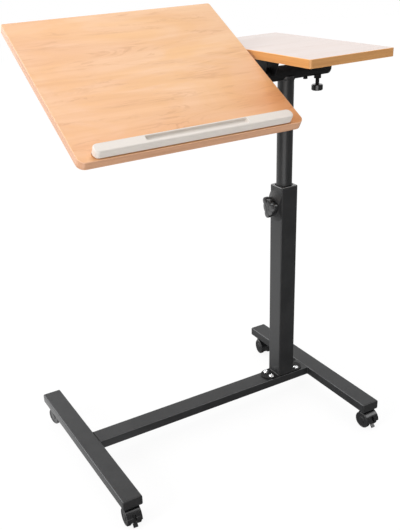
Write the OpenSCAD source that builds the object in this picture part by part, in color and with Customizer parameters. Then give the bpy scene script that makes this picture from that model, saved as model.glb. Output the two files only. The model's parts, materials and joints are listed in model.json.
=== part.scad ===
// Rolling laptop table: an H-shaped tube base on four twin-wheel casters, a telescopic
// post, a fixed side board and a main board that tilts about a tube under both boards.
// Millimetres, +Z up, X along the crossbar, the user sits on the -Y side.

/* [Base frame] */
// Length of each foot over its end caps
foot_l = 420; // [300:5:600]
// Post axis to the outer side of the left foot
left_reach = 505; // [350:5:700]
// Post axis to the outer side of the right foot
right_reach = 101; // [95:1:200]
// Width of the foot and crossbar tube
tube_w = 40; // [40:1:60]
// Height of the foot and crossbar tube
tube_h = 20; // [20:1:40]
// Wall of the foot and crossbar tube
tube_wall = 1.5; // [1:0.1:3]
// Outer corner radius of the foot and crossbar tube
tube_corner = 3; // [2:0.5:6]
// Visible thickness of a foot end cap
cap_t = 3; // [2:0.5:6]
// Length of the cap's plug inside the foot
cap_plug_l = 8; // [4:1:10]
// Radius of the weld beads
weld_r = 2.5; // [1.5:0.5:5]

/* [Casters] */
// Floor to the underside of the feet
caster_h = 42; // [42:1:60]
// Diameter of a caster wheel
wheel_d = 36; // [30:1:36]
// Width of one caster wheel
wheel_w = 9; // [7:0.5:14]
// Width of the web between the two wheels
web_w = 10; // [10:0.5:16]
// Side gap between a wheel and the web
wheel_gap = 1; // [0.5:0.5:2]
// Wheel tread to the inside of the canopy
canopy_gap = 1; // [0.5:0.5:1.5]
// Thickness of the canopy over the wheels
canopy_t = 1.5; // [1:0.5:2]
// Stem axis to wheel axle, measured level
caster_trail = 9; // [8:1:20]
// End of the foot to the stem axis
caster_inset = 20; // [20:1:40]
// Diameter of the stem's plain lower pin
stem_d = 6; // [5:0.5:6]
// Diameter of the stem's thread
thread_d = 8; // [6:1:8]
// Length of the stem's thread inside the foot
thread_l = 15; // [8:1:16]
// Diameter of the stem's flange
stem_flange_d = 15; // [13:1:18]
// Thickness of the stem's flange
stem_flange_t = 2; // [1.5:0.5:2.5]
// Diameter of the stem boss on the caster body
boss_d = 16; // [14:1:18]
// Diameter of the wheel axle
axle_d = 5; // [4:0.5:6]
// Swivel angle of the near left caster as it stands
turn_near_left = -5; // [-20:1:20]
// Swivel angle of the near right caster as it stands
turn_near_right = 3; // [-20:1:20]
// Swivel angle of the rear left caster as it stands
turn_rear_left = 10; // [-20:1:20]
// Swivel angle of the rear right caster as it stands
turn_rear_right = -9; // [-20:1:20]
// Width of the brake lever
lever_w = 6; // [4:0.5:6]
// Width of the brake lever's toe
lever_toe_w = 9; // [6:0.5:9]

/* [Post] */
// Length of the plate under the post
plate_l = 104; // [90:1:110]
// Width of the plate under the post
plate_w = 40; // [40:1:46]
// Thickness of the plate under the post
plate_t = 3; // [2:0.5:6]
// Post axis to a plate bolt along the crossbar
bolt_x = 34; // [32:1:38]
// Post axis to a plate bolt across the crossbar
bolt_y = 10.5; // [9:0.5:12]
// Diameter of a plate bolt's shank
bolt_d = 6; // [5:1:8]
// Diameter of a plate bolt's head
bolt_head_d = 12.4; // [10:0.2:13]
// Height of a plate bolt's domed head
bolt_head_h = 3.3; // [2:0.1:5]
// Size of a plate nut across its flats
nut_af = 10; // [9:1:14]
// Thickness of a plate nut
nut_t = 5; // [4:0.5:7]
// Outer side of the square lower post
post_w = 40; // [38:1:40]
// Wall of the square lower post
post_wall = 1.5; // [1:0.1:2]
// Outer corner radius of the square lower post
post_corner = 2.5; // [2:0.5:5]
// Length of the square lower post
post_l = 442; // [380:1:520]
// Thickness of the guide bush's top flange
bush_flange_t = 2; // [1:0.5:5]
// Length of the guide bush inside the lower post
bush_l = 58; // [50:1:90]
// Outer diameter of the round upper post
upper_d = 32; // [28:0.5:32]
// Wall of the round upper post
upper_wall = 1.5; // [1:0.1:3]
// Length of the round upper post
upper_l = 450; // [400:1:480]
// Height of the slide guide round the foot of the upper post
guide_l = 30; // [20:1:40]
// Floor of the slide guide under the upper post
guide_floor = 3; // [2:0.5:5]

/* [Height clamp] */
// Top of the guide bush down to the clamp knob's axis
knob_drop = 42; // [30:1:50]
// Diameter of the clamp studs
stud_d = 8; // [6:1:8]
// Length of the moulded housing behind the knob
housing_l = 9; // [8:1:14]
// Outer radius of the housing where it meets the post
housing_foot_r = 32; // [24:1:34]
// Outer radius of the housing where it meets the knob
housing_end_r = 21; // [16:0.5:22]
// Diameter of the knob over its lobes
knob_d = 48; // [40:1:60]
// Number of lobes on the knob
knob_lobes = 3; // [3:1:8]
// Turn of the knob as it stands, from a lobe that points up
knob_turn = 45; // [0:5:115]
// Radius of one lobe
lobe_r = 8; // [5:0.5:10]
// Thickness of the lobed part of the knob
knob_t = 8.5; // [7:0.5:20]
// Height of the crown on the knob's face
knob_crown = 4; // [1:0.5:6]
// Thickness of the knob in front of its stud
knob_front_t = 3; // [2:0.5:4]
// Length of the knob's neck towards the housing
knob_neck_l = 2; // [2:0.5:6]
// Diameter of the knob's neck
knob_neck_d = 24; // [18:1:30]
// Size of a clamp nut across its flats
clamp_nut_af = 13; // [11:1:13]
// Thickness of the clamp nut in the housing
clamp_nut_t = 6; // [4:0.5:7]

/* [Tilt joint] */
// Floor to the tilt axis
pivot_z = 732; // [700:1:760]
// Outer diameter of the tilt sleeve
sleeve_d = 28; // [26:0.5:32]
// Wall of the tilt sleeve
sleeve_wall = 1.45; // [1:0.05:3]
// Post axis to the sleeve's left end
sleeve_left = 94; // [80:1:96]
// Post axis to the sleeve's right end
sleeve_right = 99; // [95:1:140]
// Wall of the tilt tube
tilt_wall = 1.5; // [1:0.1:3]
// Post axis to the tilt tube's left end
tilt_left = 480; // [470:1:520]
// Sleeve's right end to the end of the tilt tube inside it
tilt_end_gap = 8; // [6.5:0.5:15]
// Thickness of the visible flange of the round end caps
end_cap_t = 2; // [1:0.5:5]
// Length of the round end caps' plugs
end_plug_l = 6; // [4:0.5:6]
// Post axis to the tilt clamp screw
tilt_stud_x = 77; // [74:1:80]
// Length of tilt screw between sleeve and head
tilt_stud_l = 20; // [15:1:40]
// Diameter of the tilt screw's head
tilt_head_d = 22.5; // [18:0.5:34]
// Thickness of the tilt screw's head
tilt_head_t = 9.5; // [5:0.5:12]
// Largest diameter of the cone where the head meets the screw
tilt_neck_d = 15; // [12:0.5:18]
// Length of that cone
tilt_neck_l = 3; // [1:0.5:5]
// Height of the tilt clamp nut under the sleeve
tilt_nut_t = 6; // [4:0.5:8]
// Post axis to the stop screw
stop_x = 47; // [30:1:60]
// Diameter of the stop screw
stop_d = 6; // [4:0.5:6]
// Size of the stop screw's head across its flats
stop_head_af = 8; // [8:1:12]
// Height of the stop screw's head
stop_head_t = 4; // [3:0.5:6]
// Tilt of the main board as it stands
tilt = 30; // [0:1:90]
// Tilt where the main board stops at its lowest
tilt_min = 0; // [0:1:10]
// Tilt where the main board stops at its highest
tilt_max = 90; // [60:1:90]

/* [Boards] */
// Thickness of both boards
board_t = 15; // [15:1:25]
// Depth of both boards, front to back
board_d = 350; // [300:5:450]
// Centre of the boards, forward of the tilt axis
board_shift = 10; // [0:1:20]
// Width of the main board
main_w = 412; // [380:1:500]
// Post axis to the right edge of the main board
main_right = 98; // [97:1:110]
// Radius of the main board's front corners
main_corner = 13; // [4:1:40]
// Width of the side board
side_w = 185; // [175:1:190]
// Gap between the two boards
board_gap = 8; // [4:1:10]
// Radius of the side board's front corners
side_corner = 5; // [4:1:40]
// Radius of both boards' back corners
back_corner = 4; // [3:0.5:20]
// Thickness of the edge banding
band_t = 1; // [0.5:0.5:1.5]
// Height of the boards' underside above the tilt axis
seat_h = 37; // [34:1:60]

/* [Brackets] */
// Width of a board bracket along X
bracket_w = 50; // [40:1:52]
// Length of a board bracket, front to back
bracket_l = 220; // [160:1:260]
// Sheet thickness of the brackets
bracket_t = 2.5; // [1.5:0.5:4]
// Corner radius of a bracket's plate
bracket_corner = 6; // [3:1:12]
// Width over the two cheeks of a bracket
cheek_span = 28; // [24:1:36]
// Length of a bracket's cheek under the plate
cheek_top_l = 70; // [50:1:120]
// Length of a bracket's cheek at the tube's axis
cheek_low_l = 40; // [36:1:48]
// Side of the main board to the middle of a bracket
main_bracket_in = 70; // [60:1:120]
// Side of the side board to the middle of a bracket
side_bracket_in = 37; // [30:1:50]
// Bracket screw to the end of the bracket
screw_end_in = 15; // [8:1:30]
// Bracket screw to the side of the bracket
screw_side_in = 10; // [8:1:14]
// Diameter of a wood screw's shank
screw_d = 4; // [3:0.5:5]
// Diameter of a wood screw's head
screw_head_d = 8; // [6:0.5:9]
// Height of a wood screw's head
screw_head_t = 2.2; // [1.5:0.1:4]
// Depth of a bracket screw in the board
screw_bite = 11; // [6:1:12]

/* [Ledge] */
// Length of the ledge
ledge_l = 362; // [300:1:372]
// Width of the ledge, front to back
ledge_w = 20; // [19:1:40]
// Height of the ledge above the board
ledge_h = 15; // [13:1:30]
// Front edge of the board to the ledge
ledge_inset = 2; // [1.5:0.5:10]
// Corner radius of the ledge's ends
ledge_corner = 9; // [3:0.5:9]
// Length of the pen groove
groove_l = 186; // [100:1:260]
// Width of the pen groove
groove_w = 10.5; // [6:0.5:11]
// Depth of the pen groove
groove_depth = 5; // [3:0.5:6]
// Front of the ledge to the pen groove
groove_lip = 6; // [3:0.5:6]
// Ledge screw to the end of the ledge
ledge_screw_in = 40; // [20:1:80]
// Reach of a ledge screw above the board
ledge_bite = 7; // [4:0.5:8]
// Depth of the shallow seat in the board that locates the ledge
ledge_seat = 1; // [0.5:0.5:2]

/* [Fits] */
// Radial clearance where one piece turns or slides in another
run_fit = 0.05; // [0.02:0.01:0.1]
// Radial clearance where a piece is fixed in a hole
snug_fit = 0.02; // [0.01:0.01:0.1]
// Side clearance of plugs and guides in square tube
plug_fit = 0.1; // [0.05:0.01:0.2]
// Gap round the ledge in its seat
seat_fit = 0.2; // [0.1:0.1:0.3]
// Gap between loose faces, such as a knob and its housing
face_gap = 0.5; // [0.3:0.1:0.8]

/* [Hidden] */
$fn = 48;
eps = 0.01;
over = 1;

// Caster sizes that follow from the wheel
wheel_r = wheel_d / 2;
web_r = wheel_r - 2;
canopy_in_r = wheel_r + canopy_gap;
canopy_r = canopy_in_r + canopy_t;
caster_w = web_w + 2 * (wheel_gap + wheel_w);
body_top = caster_h - stem_flange_t - face_gap;
boss_z = body_top - 4;
stem_foot_z = wheel_r - 4;
wheel_face = 0.8;
wheel_round = 1.5;
axle_half = web_w / 2 + wheel_gap + wheel_w - wheel_face - face_gap;
lever_pin_r = 1.25;
lever_hub_r = 3.5;
lever_side = 0.3;
lever_y = -caster_trail - 11;
lever_z = wheel_r + 8;
lever_toe = [wheel_r * 0.6, wheel_r + 3.8];
lever_slot_y = lever_y + lever_hub_r + face_gap;
lever_t = 2.8;
lever_knee = [lever_hub_r + 2.5, lever_toe[1] * 0.66];
insert_r = thread_d / 2 + 1;
insert_l = 9;
stem_y = foot_l / 2 - caster_inset;

// The frame's origin is the middle of the footprint, with each caster as it stands
function front_reach(a) = foot_l / 2 - caster_inset + max(
    (caster_trail + canopy_r) * cos(a) + caster_w / 2 * abs(sin(a)),
    (lever_toe[0] - lever_y) * cos(a) + lever_toe_w / 2 * abs(sin(a))
);
front = max(foot_l / 2, front_reach(turn_near_left), front_reach(turn_near_right));
side_left = main_right - board_gap;
left_end = max(left_reach, main_right + main_w, tilt_left + end_cap_t);
right_end = max(right_reach, side_w - side_left, sleeve_right + end_cap_t);
post_x = (left_end - right_end) / 2;
post_y = (front - foot_l / 2) / 2;

// Levels of the base and the post
base_top = caster_h + tube_h;
post_z = base_top + plate_t;
nut_z = base_top - tube_wall - nut_t;
post_top = post_z + post_l;
bush_top = post_top + bush_flange_t;
post_in = post_w - 2 * post_wall;
knob_z = bush_top - knob_drop;
knob_x = post_w / 2 + housing_l + face_gap;
knob_bite = knob_neck_l + knob_t - knob_front_t;
bush_bore_r = upper_d / 2 + run_fit;
crossbar_left = tube_w - left_reach;
crossbar_right = right_reach - tube_w;

// Sizes of the tilt joint
sleeve_r = sleeve_d / 2;
sleeve_bore_r = sleeve_r - sleeve_wall;
tilt_r = sleeve_bore_r - run_fit;
tilt_right = sleeve_right - tilt_end_gap;
saddle_drop = 6;
upper_top = pivot_z - saddle_drop;
upper_foot = upper_top - upper_l;
clamp_nut_r = clamp_nut_af / 2 / cos(30);
stop_head_r = stop_head_af / 2 / cos(30);
stop_slot_r = stop_d / 2 + 0.3;
stop_margin = asin(stop_slot_r / (tilt_r - tilt_wall)) + 2;
tilt_head_z = -sleeve_r - tilt_stud_l - tilt_head_t;
tilt_head_bite = tilt_head_t - 1.5;

// Places of the brackets and screws along X, from the post axis
main_mid = -main_right - main_w / 2;
side_mid = side_w / 2 - side_left;
main_bracket_x = main_w / 2 - main_bracket_in;
side_bracket_x = side_w / 2 - side_bracket_in;
ledge_mid = ledge_inset + ledge_w / 2 - board_d / 2 - board_shift;
ledge_screw_x = [-ledge_l / 2 + ledge_screw_in, 0, ledge_l / 2 - ledge_screw_in];

module at_post() {
    translate([post_x, post_y, 0]) children();
}

// Level frame on the tilt axis, for what stays with the sleeve
module on_axis() {
    translate([post_x, post_y, pivot_z]) children();
}

// Tilted frame on the tilt axis, for what turns with the main board
module on_tilt() {
    on_axis() rotate([tilt, 0, 0]) children();
}

module both(x) {
    for (s = [-1, 1]) translate([s * x, 0, 0]) children();
}

// Extrudes an outline drawn in Y and Z by w along X, centred on X = 0
module along_x(w) {
    translate([-w / 2, 0, 0]) rotate([90, 0, 90]) linear_extrude(w) children();
}

// Turns a piece made along Z so that it lies along X, towards +X
module lay_x() {
    rotate([0, 90, 0]) children();
}

module round_rect(w, h, r) {
    square([w - 2 * r, h], center = true);
    square([w, h - 2 * r], center = true);
    for (x = [-1, 1], y = [-1, 1]) {
        translate([x * (w / 2 - r), y * (h / 2 - r)]) circle(r);
    }
}

module tube_section(w, h, wall, r) {
    difference() {
        round_rect(w, h, r);
        round_rect(w - 2 * wall, h - 2 * wall, r - wall);
    }
}

module ring(r_out, r_in, h) {
    difference() {
        cylinder(r = r_out, h = h);
        translate([0, 0, -over]) cylinder(r = r_in, h = h + 2 * over);
    }
}

module hex(r, h) {
    cylinder(r = r, h = h, $fn = 6);
}

// Cap of a sphere on a circle of radius r
module dome(r, h) {
    sphere_r = (pow(r, 2) + pow(h, 2)) / (2 * h);
    intersection() {
        cylinder(r = r, h = h);
        translate([0, 0, h - sphere_r]) sphere(r = sphere_r);
    }
}

// Base frame

function foot_x(side) = side < 0 ? tube_w / 2 - left_reach : right_reach - tube_w / 2;

module foot_tube(side) {
    difference() {
        at_post() translate([foot_x(side), 0, caster_h + tube_h / 2]) rotate([90, 0, 0])
            linear_extrude(foot_l - 2 * cap_t, center = true)
                tube_section(tube_w, tube_h, tube_wall, tube_corner);
        for (end = [-1, 1]) {
            at_post() translate([foot_x(side), end * stem_y, caster_h - over])
                cylinder(r = insert_r, h = tube_wall + 2 * over);
        }
    }
}

module left_foot_tube() {
    color("#17181a") foot_tube(-1);
}

module right_foot_tube() {
    color("#17181a") foot_tube(1);
}

module crossbar_tube() {
    color("#17181a") difference() {
        at_post() translate([crossbar_left, 0, caster_h + tube_h / 2]) rotate([90, 0, 90])
            linear_extrude(crossbar_right - crossbar_left)
                tube_section(tube_w, tube_h, tube_wall, tube_corner);
        at_bolts() translate([0, 0, nut_z + nut_t - over])
            cylinder(r = bolt_d / 2 + snug_fit, h = tube_wall + 2 * over);
    }
}

module foot_end_caps() {
    color("#101113") for (side = [-1, 1], end = [-1, 1]) {
        at_post() translate([foot_x(side), end * foot_l / 2, caster_h + tube_h / 2])
            rotate([end * 90, 0, 0]) {
                linear_extrude(cap_t) round_rect(tube_w, tube_h, tube_corner);
                translate([0, 0, cap_t]) linear_extrude(cap_plug_l)
                    round_rect(tube_w - 2 * (tube_wall + plug_fit),
                               tube_h - 2 * (tube_wall + plug_fit), tube_corner - tube_wall);
            }
    }
}

// Quarter-round beads in the four corners where the crossbar meets the feet
module frame_welds() {
    bead_h = tube_h - 2 * tube_corner;
    color("#1d1e20") for (side = [-1, 1], face = [-1, 1]) {
        x = side < 0 ? crossbar_left : crossbar_right;
        at_post() translate([x, face * tube_w / 2, caster_h + tube_corner]) intersection() {
            cylinder(r = weld_r, h = bead_h);
            translate([side < 0 ? 0 : -weld_r, face < 0 ? -weld_r : 0, 0])
                cube([weld_r, weld_r, bead_h]);
        }
    }
}

// Post

module at_bolts() {
    for (x = [-1, 1], y = [-1, 1]) {
        at_post() translate([x * bolt_x, y * bolt_y, 0]) children();
    }
}

module post_base_plate() {
    color("#151618") difference() {
        at_post() translate([0, 0, base_top]) linear_extrude(plate_t) {
            square([plate_l - plate_w, plate_w], center = true);
            both((plate_l - plate_w) / 2) circle(plate_w / 2);
        }
        at_bolts() translate([0, 0, base_top - over])
            cylinder(r = bolt_d / 2 + snug_fit, h = plate_t + 2 * over);
    }
}

module base_plate_bolts() {
    color("#c8ccd0") at_bolts() {
        translate([0, 0, nut_z - 1]) cylinder(d = bolt_d, h = post_z - nut_z + 1);
        translate([0, 0, post_z]) dome(bolt_head_d / 2, bolt_head_h);
    }
}

module base_plate_nuts() {
    color("#b4b8bc") at_bolts() translate([0, 0, nut_z]) difference() {
        hex(nut_af / 2 / cos(30), nut_t);
        translate([0, 0, -over]) cylinder(r = bolt_d / 2 + snug_fit, h = nut_t + 2 * over);
    }
}

module lower_post_tube() {
    color("#17181a") difference() {
        at_post() translate([0, 0, post_z]) linear_extrude(post_l)
            tube_section(post_w, post_w, post_wall, post_corner);
        clamp_hole(post_w / 2 - post_wall - over);
    }
}

// Round hole for the height clamp's stud, from x = start outwards to the left
module clamp_hole(start) {
    at_post() translate([-start, 0, knob_z]) rotate([0, -90, 0])
        cylinder(r = stud_d / 2 + face_gap, h = post_w);
}

// Beads on the two sides of the post where the plate reaches past it
module post_weld() {
    bead_l = post_w - 2 * post_corner;
    color("#1d1e20") for (s = [-1, 1]) at_post() translate([s * post_w / 2, 0, post_z])
        intersection() {
            rotate([90, 0, 0]) cylinder(r = weld_r, h = bead_l, center = true);
            translate([s * weld_r, 0, weld_r])
                cube([2 * weld_r, bead_l, 2 * weld_r], center = true);
        }
}

module guide_bush() {
    plug_w = post_in - 2 * plug_fit;
    color("#2a2b2e") difference() {
        at_post() {
            translate([0, 0, post_top]) linear_extrude(bush_flange_t)
                round_rect(post_w, post_w, post_corner);
            translate([0, 0, post_top - bush_l]) linear_extrude(bush_l)
                round_rect(plug_w, plug_w, post_corner - post_wall);
        }
        at_post() translate([0, 0, post_top - bush_l - over])
            cylinder(r = bush_bore_r, h = bush_l + bush_flange_t + 2 * over);
        clamp_hole(0);
    }
}

module clamp_housing() {
    color("#111214") intersection() {
        at_post() translate([-post_w / 2, 0, knob_z]) rotate([0, -90, 0]) difference() {
            cylinder(r1 = housing_foot_r, r2 = housing_end_r, h = housing_l);
            translate([0, 0, -over])
                cylinder(r = clamp_nut_r + face_gap, h = clamp_nut_t + over + 2 * face_gap);
            cylinder(r = stud_d / 2 + face_gap, h = housing_l + over);
        }
        at_post() translate([-post_w, -post_w / 2, 0]) cube([post_w, post_w, bush_top]);
    }
}

module clamp_weld_nut() {
    color("#8d9094") at_post() translate([-post_w / 2, 0, knob_z]) rotate([0, -90, 0]) difference() {
        hex(clamp_nut_r, clamp_nut_t);
        translate([0, 0, -over]) cylinder(r = stud_d / 2 + run_fit, h = clamp_nut_t + 2 * over);
    }
}

module height_clamp_stud() {
    tip = upper_d / 2 + run_fit;
    color("#a9adb1") at_post() translate([-tip, 0, knob_z]) rotate([0, -90, 0])
        cylinder(d = stud_d, h = knob_x + knob_bite - tip - run_fit);
}

module height_clamp_knob() {
    lobe_at = knob_d / 2 - lobe_r;
    color("#0c0d0f") at_post() translate([-knob_x, 0, knob_z]) rotate([0, -90, 0]) difference() {
        union() {
            cylinder(d = knob_neck_d, h = knob_neck_l);
            translate([0, 0, knob_neck_l]) linear_extrude(knob_t) {
                circle(lobe_at + 1);
                for (i = [0:knob_lobes - 1]) rotate(knob_turn + i * 360 / knob_lobes)
                    translate([lobe_at, 0]) circle(lobe_r);
            }
            translate([0, 0, knob_neck_l + knob_t]) dome(lobe_at + 1, knob_crown);
        }
        translate([0, 0, -over]) cylinder(r = stud_d / 2 + run_fit, h = knob_bite + over);
    }
}

// Casters

// Stands a caster's piece on its stem axis, turned as the caster stands
module at_caster(side, end, turn) {
    at_post() translate([foot_x(side), end * stem_y, 0]) rotate([0, 0, turn]) children();
}

module at_each_stem() {
    for (side = [-1, 1], end = [-1, 1]) {
        at_post() translate([foot_x(side), end * stem_y, 0]) children();
    }
}

module caster_inserts() {
    color("#8d9094") at_each_stem() difference() {
        union() {
            translate([0, 0, caster_h]) cylinder(r = insert_r - snug_fit, h = tube_wall + eps);
            translate([0, 0, caster_h + tube_wall]) cylinder(r = insert_r + 1, h = insert_l);
        }
        translate([0, 0, caster_h - over])
            cylinder(r = thread_d / 2 + snug_fit, h = insert_l + tube_wall + 2 * over);
    }
}

module caster_stems() {
    color("#b4b8bc") at_each_stem() {
        translate([0, 0, stem_foot_z + face_gap])
            cylinder(d = stem_d, h = caster_h - stem_flange_t - stem_foot_z - face_gap + eps);
        translate([0, 0, caster_h - stem_flange_t]) cylinder(d = stem_flange_d, h = stem_flange_t);
        translate([0, 0, caster_h - eps]) cylinder(d = thread_d, h = thread_l + eps);
    }
}

module caster_outline() {
    translate([-caster_trail, wheel_r]) circle(web_r);
    intersection() {
        translate([-caster_trail, wheel_r]) circle(canopy_r);
        translate([-caster_trail - canopy_r, wheel_r]) square([caster_trail + canopy_r, canopy_r]);
    }
    translate([-caster_trail, stem_foot_z - 2])
        square([caster_trail + stem_d / 2 + 3, body_top - stem_foot_z + 2]);
}

module canopy_outline() {
    intersection() {
        translate([-caster_trail, wheel_r]) difference() {
            circle(canopy_r);
            circle(canopy_in_r);
        }
        translate([-caster_trail - canopy_r, wheel_r]) square([caster_trail + canopy_r, canopy_r]);
    }
}

module caster_body(braked) {
    color("#0e0f11") difference() {
        union() {
            along_x(web_w) caster_outline();
            along_x(caster_w) canopy_outline();
            translate([0, 0, boss_z]) cylinder(d = boss_d, h = body_top - boss_z);
        }
        translate([0, 0, stem_foot_z]) cylinder(r = stem_d / 2 + run_fit, h = caster_h);
        translate([-caster_w, -caster_trail, wheel_r]) lay_x()
            cylinder(r = axle_d / 2 + snug_fit, h = 2 * caster_w);
        if (braked) {
            slot_w = lever_w + 2 * lever_side;
            translate([-slot_w / 2, lever_slot_y - canopy_r, -over])
                cube([slot_w, canopy_r, lever_z + lever_hub_r + face_gap + over]);
            translate([-caster_w, lever_y, lever_z]) lay_x()
                cylinder(r = lever_pin_r + run_fit, h = 2 * caster_w);
        }
    }
}

module caster_axle() {
    color("#a9adb1") translate([-axle_half, -caster_trail, wheel_r]) lay_x()
        cylinder(d = axle_d, h = 2 * axle_half);
}

// side -1 is the wheel on the left of its web, 1 the wheel on the right
module caster_wheel(side) {
    hub_r = axle_d / 2 + run_fit;
    bore_l = wheel_w - wheel_face;
    color("#131416") translate([side * (web_w / 2 + wheel_gap), -caster_trail, wheel_r])
        rotate([0, side * 90, 0]) rotate_extrude() polygon([
            [hub_r, 0], [wheel_r - 1, 0], [wheel_r, 1], [wheel_r, wheel_w - wheel_round],
            [wheel_r - wheel_round, wheel_w], [0, wheel_w], [0, bore_l], [hub_r, bore_l]
        ]);
}

// Brake lever, down on its stop, with its own short pins in the body's cheeks
module caster_brake() {
    knee = -lever_knee;
    tip = [-lever_toe[0], lever_t - lever_toe[1]];
    heel = [1 - lever_toe[0], -lever_toe[1]];
    color("#0a0b0c") translate([0, lever_y, lever_z]) {
        along_x(lever_w) {
            circle(lever_hub_r);
            polygon([
                [-lever_hub_r, 0], knee, tip, heel, [lever_t + knee[0], knee[1]], [lever_hub_r, 0]
            ]);
        }
        along_x(lever_toe_w) polygon([knee, tip, heel, [lever_t / 2 + knee[0], knee[1] - 1]]);
        along_x(web_w) circle(lever_pin_r);
    }
}

// Upper post and tilt joint

module slide_guide() {
    guide_w = post_in - 2 * plug_fit;
    color("#2a2b2e") difference() {
        at_post() translate([0, 0, upper_foot - guide_floor]) linear_extrude(guide_l + guide_floor)
            round_rect(guide_w, guide_w, post_corner - post_wall);
        at_post() translate([0, 0, upper_foot - run_fit])
            cylinder(r = bush_bore_r, h = guide_l + over);
    }
}

module upper_post_tube() {
    color("#1a1b1d") difference() {
        at_post() translate([0, 0, upper_foot]) ring(upper_d / 2, upper_d / 2 - upper_wall, upper_l);
        on_axis() translate([-upper_d, 0, 0]) lay_x()
            cylinder(r = sleeve_r + snug_fit, h = 2 * upper_d);
    }
}

module tilt_sleeve() {
    color("#17181a") difference() {
        on_axis() translate([-sleeve_left, 0, 0]) lay_x()
            ring(sleeve_r, sleeve_bore_r, sleeve_left + sleeve_right);
        on_axis() translate([tilt_stud_x, 0, -sleeve_r - over])
            cylinder(r = stud_d / 2 + face_gap, h = sleeve_r);
        on_axis() translate([stop_x, 0, -sleeve_r - over])
            cylinder(r = stop_d / 2 + snug_fit, h = sleeve_r);
    }
}

// Bead round the top of the upper post, under the sleeve
module sleeve_weld() {
    color("#1d1e20") difference() {
        at_post() translate([0, 0, pivot_z - sleeve_r - 1]) rotate_extrude()
            translate([upper_d / 2, 0]) circle(weld_r);
        at_post() translate([0, 0, upper_foot]) cylinder(d = upper_d, h = upper_l + over);
        on_axis() translate([-upper_d, 0, 0]) lay_x()
            cylinder(r = sleeve_r + snug_fit, h = 2 * upper_d);
    }
}

module end_cap(flange_r, plug_r) {
    cylinder(r = flange_r, h = end_cap_t);
    translate([0, 0, -end_plug_l]) cylinder(r = plug_r - snug_fit, h = end_plug_l + eps);
}

module sleeve_end_cap() {
    color("#101113") on_axis() translate([sleeve_right, 0, 0]) lay_x()
        end_cap(sleeve_r, sleeve_bore_r);
}

module clamp_nut_under(x, r, h) {
    on_axis() translate([x, 0, -sleeve_r - h]) difference() {
        hex(r, h + sleeve_r);
        translate([0, 0, -over]) cylinder(r = stud_d / 2 + run_fit, h = h + sleeve_r + 2 * over);
        translate([-2 * r, 0, h + sleeve_r]) lay_x() cylinder(r = sleeve_r + snug_fit, h = 4 * r);
    }
}

module tilt_clamp_nut() {
    color("#1d1e20") clamp_nut_under(tilt_stud_x, clamp_nut_r, tilt_nut_t);
}

module tilt_clamp_stud() {
    tip_z = -tilt_r - run_fit;
    low_z = tilt_head_z + tilt_head_t - tilt_head_bite + run_fit;
    color("#1a1b1d") on_axis() translate([tilt_stud_x, 0, low_z]) cylinder(d = stud_d, h = tip_z - low_z);
}

module tilt_clamp_head() {
    color("#0c0d0f") on_axis() translate([tilt_stud_x, 0, tilt_head_z]) difference() {
        union() {
            cylinder(d = tilt_head_d, h = tilt_head_t);
            translate([0, 0, tilt_head_t])
                cylinder(r1 = tilt_neck_d / 2, r2 = stud_d / 2 + 1, h = tilt_neck_l);
        }
        translate([0, 0, tilt_head_t - tilt_head_bite])
            cylinder(r = stud_d / 2 + run_fit, h = tilt_head_bite + tilt_neck_l + over);
    }
}

// Hex screw through the sleeve, whose tip runs in the tilt tube's slot
module stop_screw() {
    tip_z = -tilt_r + tilt_wall * 0.7;
    color("#8d9094") on_axis() translate([stop_x, 0, 0]) {
        translate([0, 0, -sleeve_r - stop_head_t]) hex(stop_head_r, stop_head_t);
        translate([0, 0, -sleeve_r - eps]) cylinder(d = stop_d, h = tip_z + sleeve_r + eps);
    }
}

// Slot in the tilt tube for the stop screw, wide enough for the whole tilt
module stop_slot() {
    from = tilt - tilt_max - stop_margin;
    sweep = tilt_max - tilt_min + 2 * stop_margin;
    translate([stop_x - stop_slot_r, 0, 0]) lay_x()
        rotate([0, 0, from]) rotate_extrude(angle = sweep)
            translate([tilt_r - tilt_wall - over, 0]) square([tilt_wall + 2 * over, 2 * stop_slot_r]);
}

module tilt_tube() {
    color("#1a1b1d") difference() {
        on_axis() translate([-tilt_left, 0, 0]) lay_x()
            ring(tilt_r, tilt_r - tilt_wall, tilt_left + tilt_right);
        on_axis() stop_slot();
    }
}

module tilt_tube_cap() {
    color("#101113") on_tilt() translate([-tilt_left, 0, 0]) rotate([0, -90, 0])
        end_cap(tilt_r, tilt_r - tilt_wall);
}

// Brackets: a plate under the board and two cheeks welded on the tube

module bracket(seat_r) {
    difference() {
        translate([0, -board_shift, seat_h - bracket_t]) linear_extrude(bracket_t)
            round_rect(bracket_w, bracket_l, bracket_corner);
        at_bracket_screws() translate([0, 0, seat_h - bracket_t - over])
            cylinder(r = screw_d / 2 + snug_fit, h = bracket_t + 2 * over);
    }
    both(cheek_span / 2 - bracket_t / 2) along_x(bracket_t) difference() {
        polygon([
            [-cheek_top_l / 2, seat_h - bracket_t], [cheek_top_l / 2, seat_h - bracket_t],
            [cheek_low_l / 2, 0], [-cheek_low_l / 2, 0]
        ]);
        circle(seat_r + snug_fit);
    }
}

module at_bracket_screws() {
    dy = bracket_l / 2 - screw_end_in;
    dx = bracket_w / 2 - screw_side_in;
    for (x = [-1, 1], y = [-1, 1]) translate([x * dx, y * dy - board_shift, 0]) children();
}

module wood_screw(head_z, grip) {
    translate([0, 0, head_z - screw_head_t]) cylinder(d = screw_head_d, h = screw_head_t);
    translate([0, 0, head_z - eps]) cylinder(d = screw_d, h = grip + eps);
}

module at_side_brackets() {
    on_axis() translate([side_mid, 0, 0]) both(side_bracket_x) children();
}

module at_main_brackets() {
    on_tilt() translate([main_mid, 0, 0]) both(main_bracket_x) children();
}

module side_brackets() {
    color("#17181a") at_side_brackets() bracket(sleeve_r);
}

module main_brackets() {
    color("#17181a") at_main_brackets() bracket(tilt_r);
}

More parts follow.
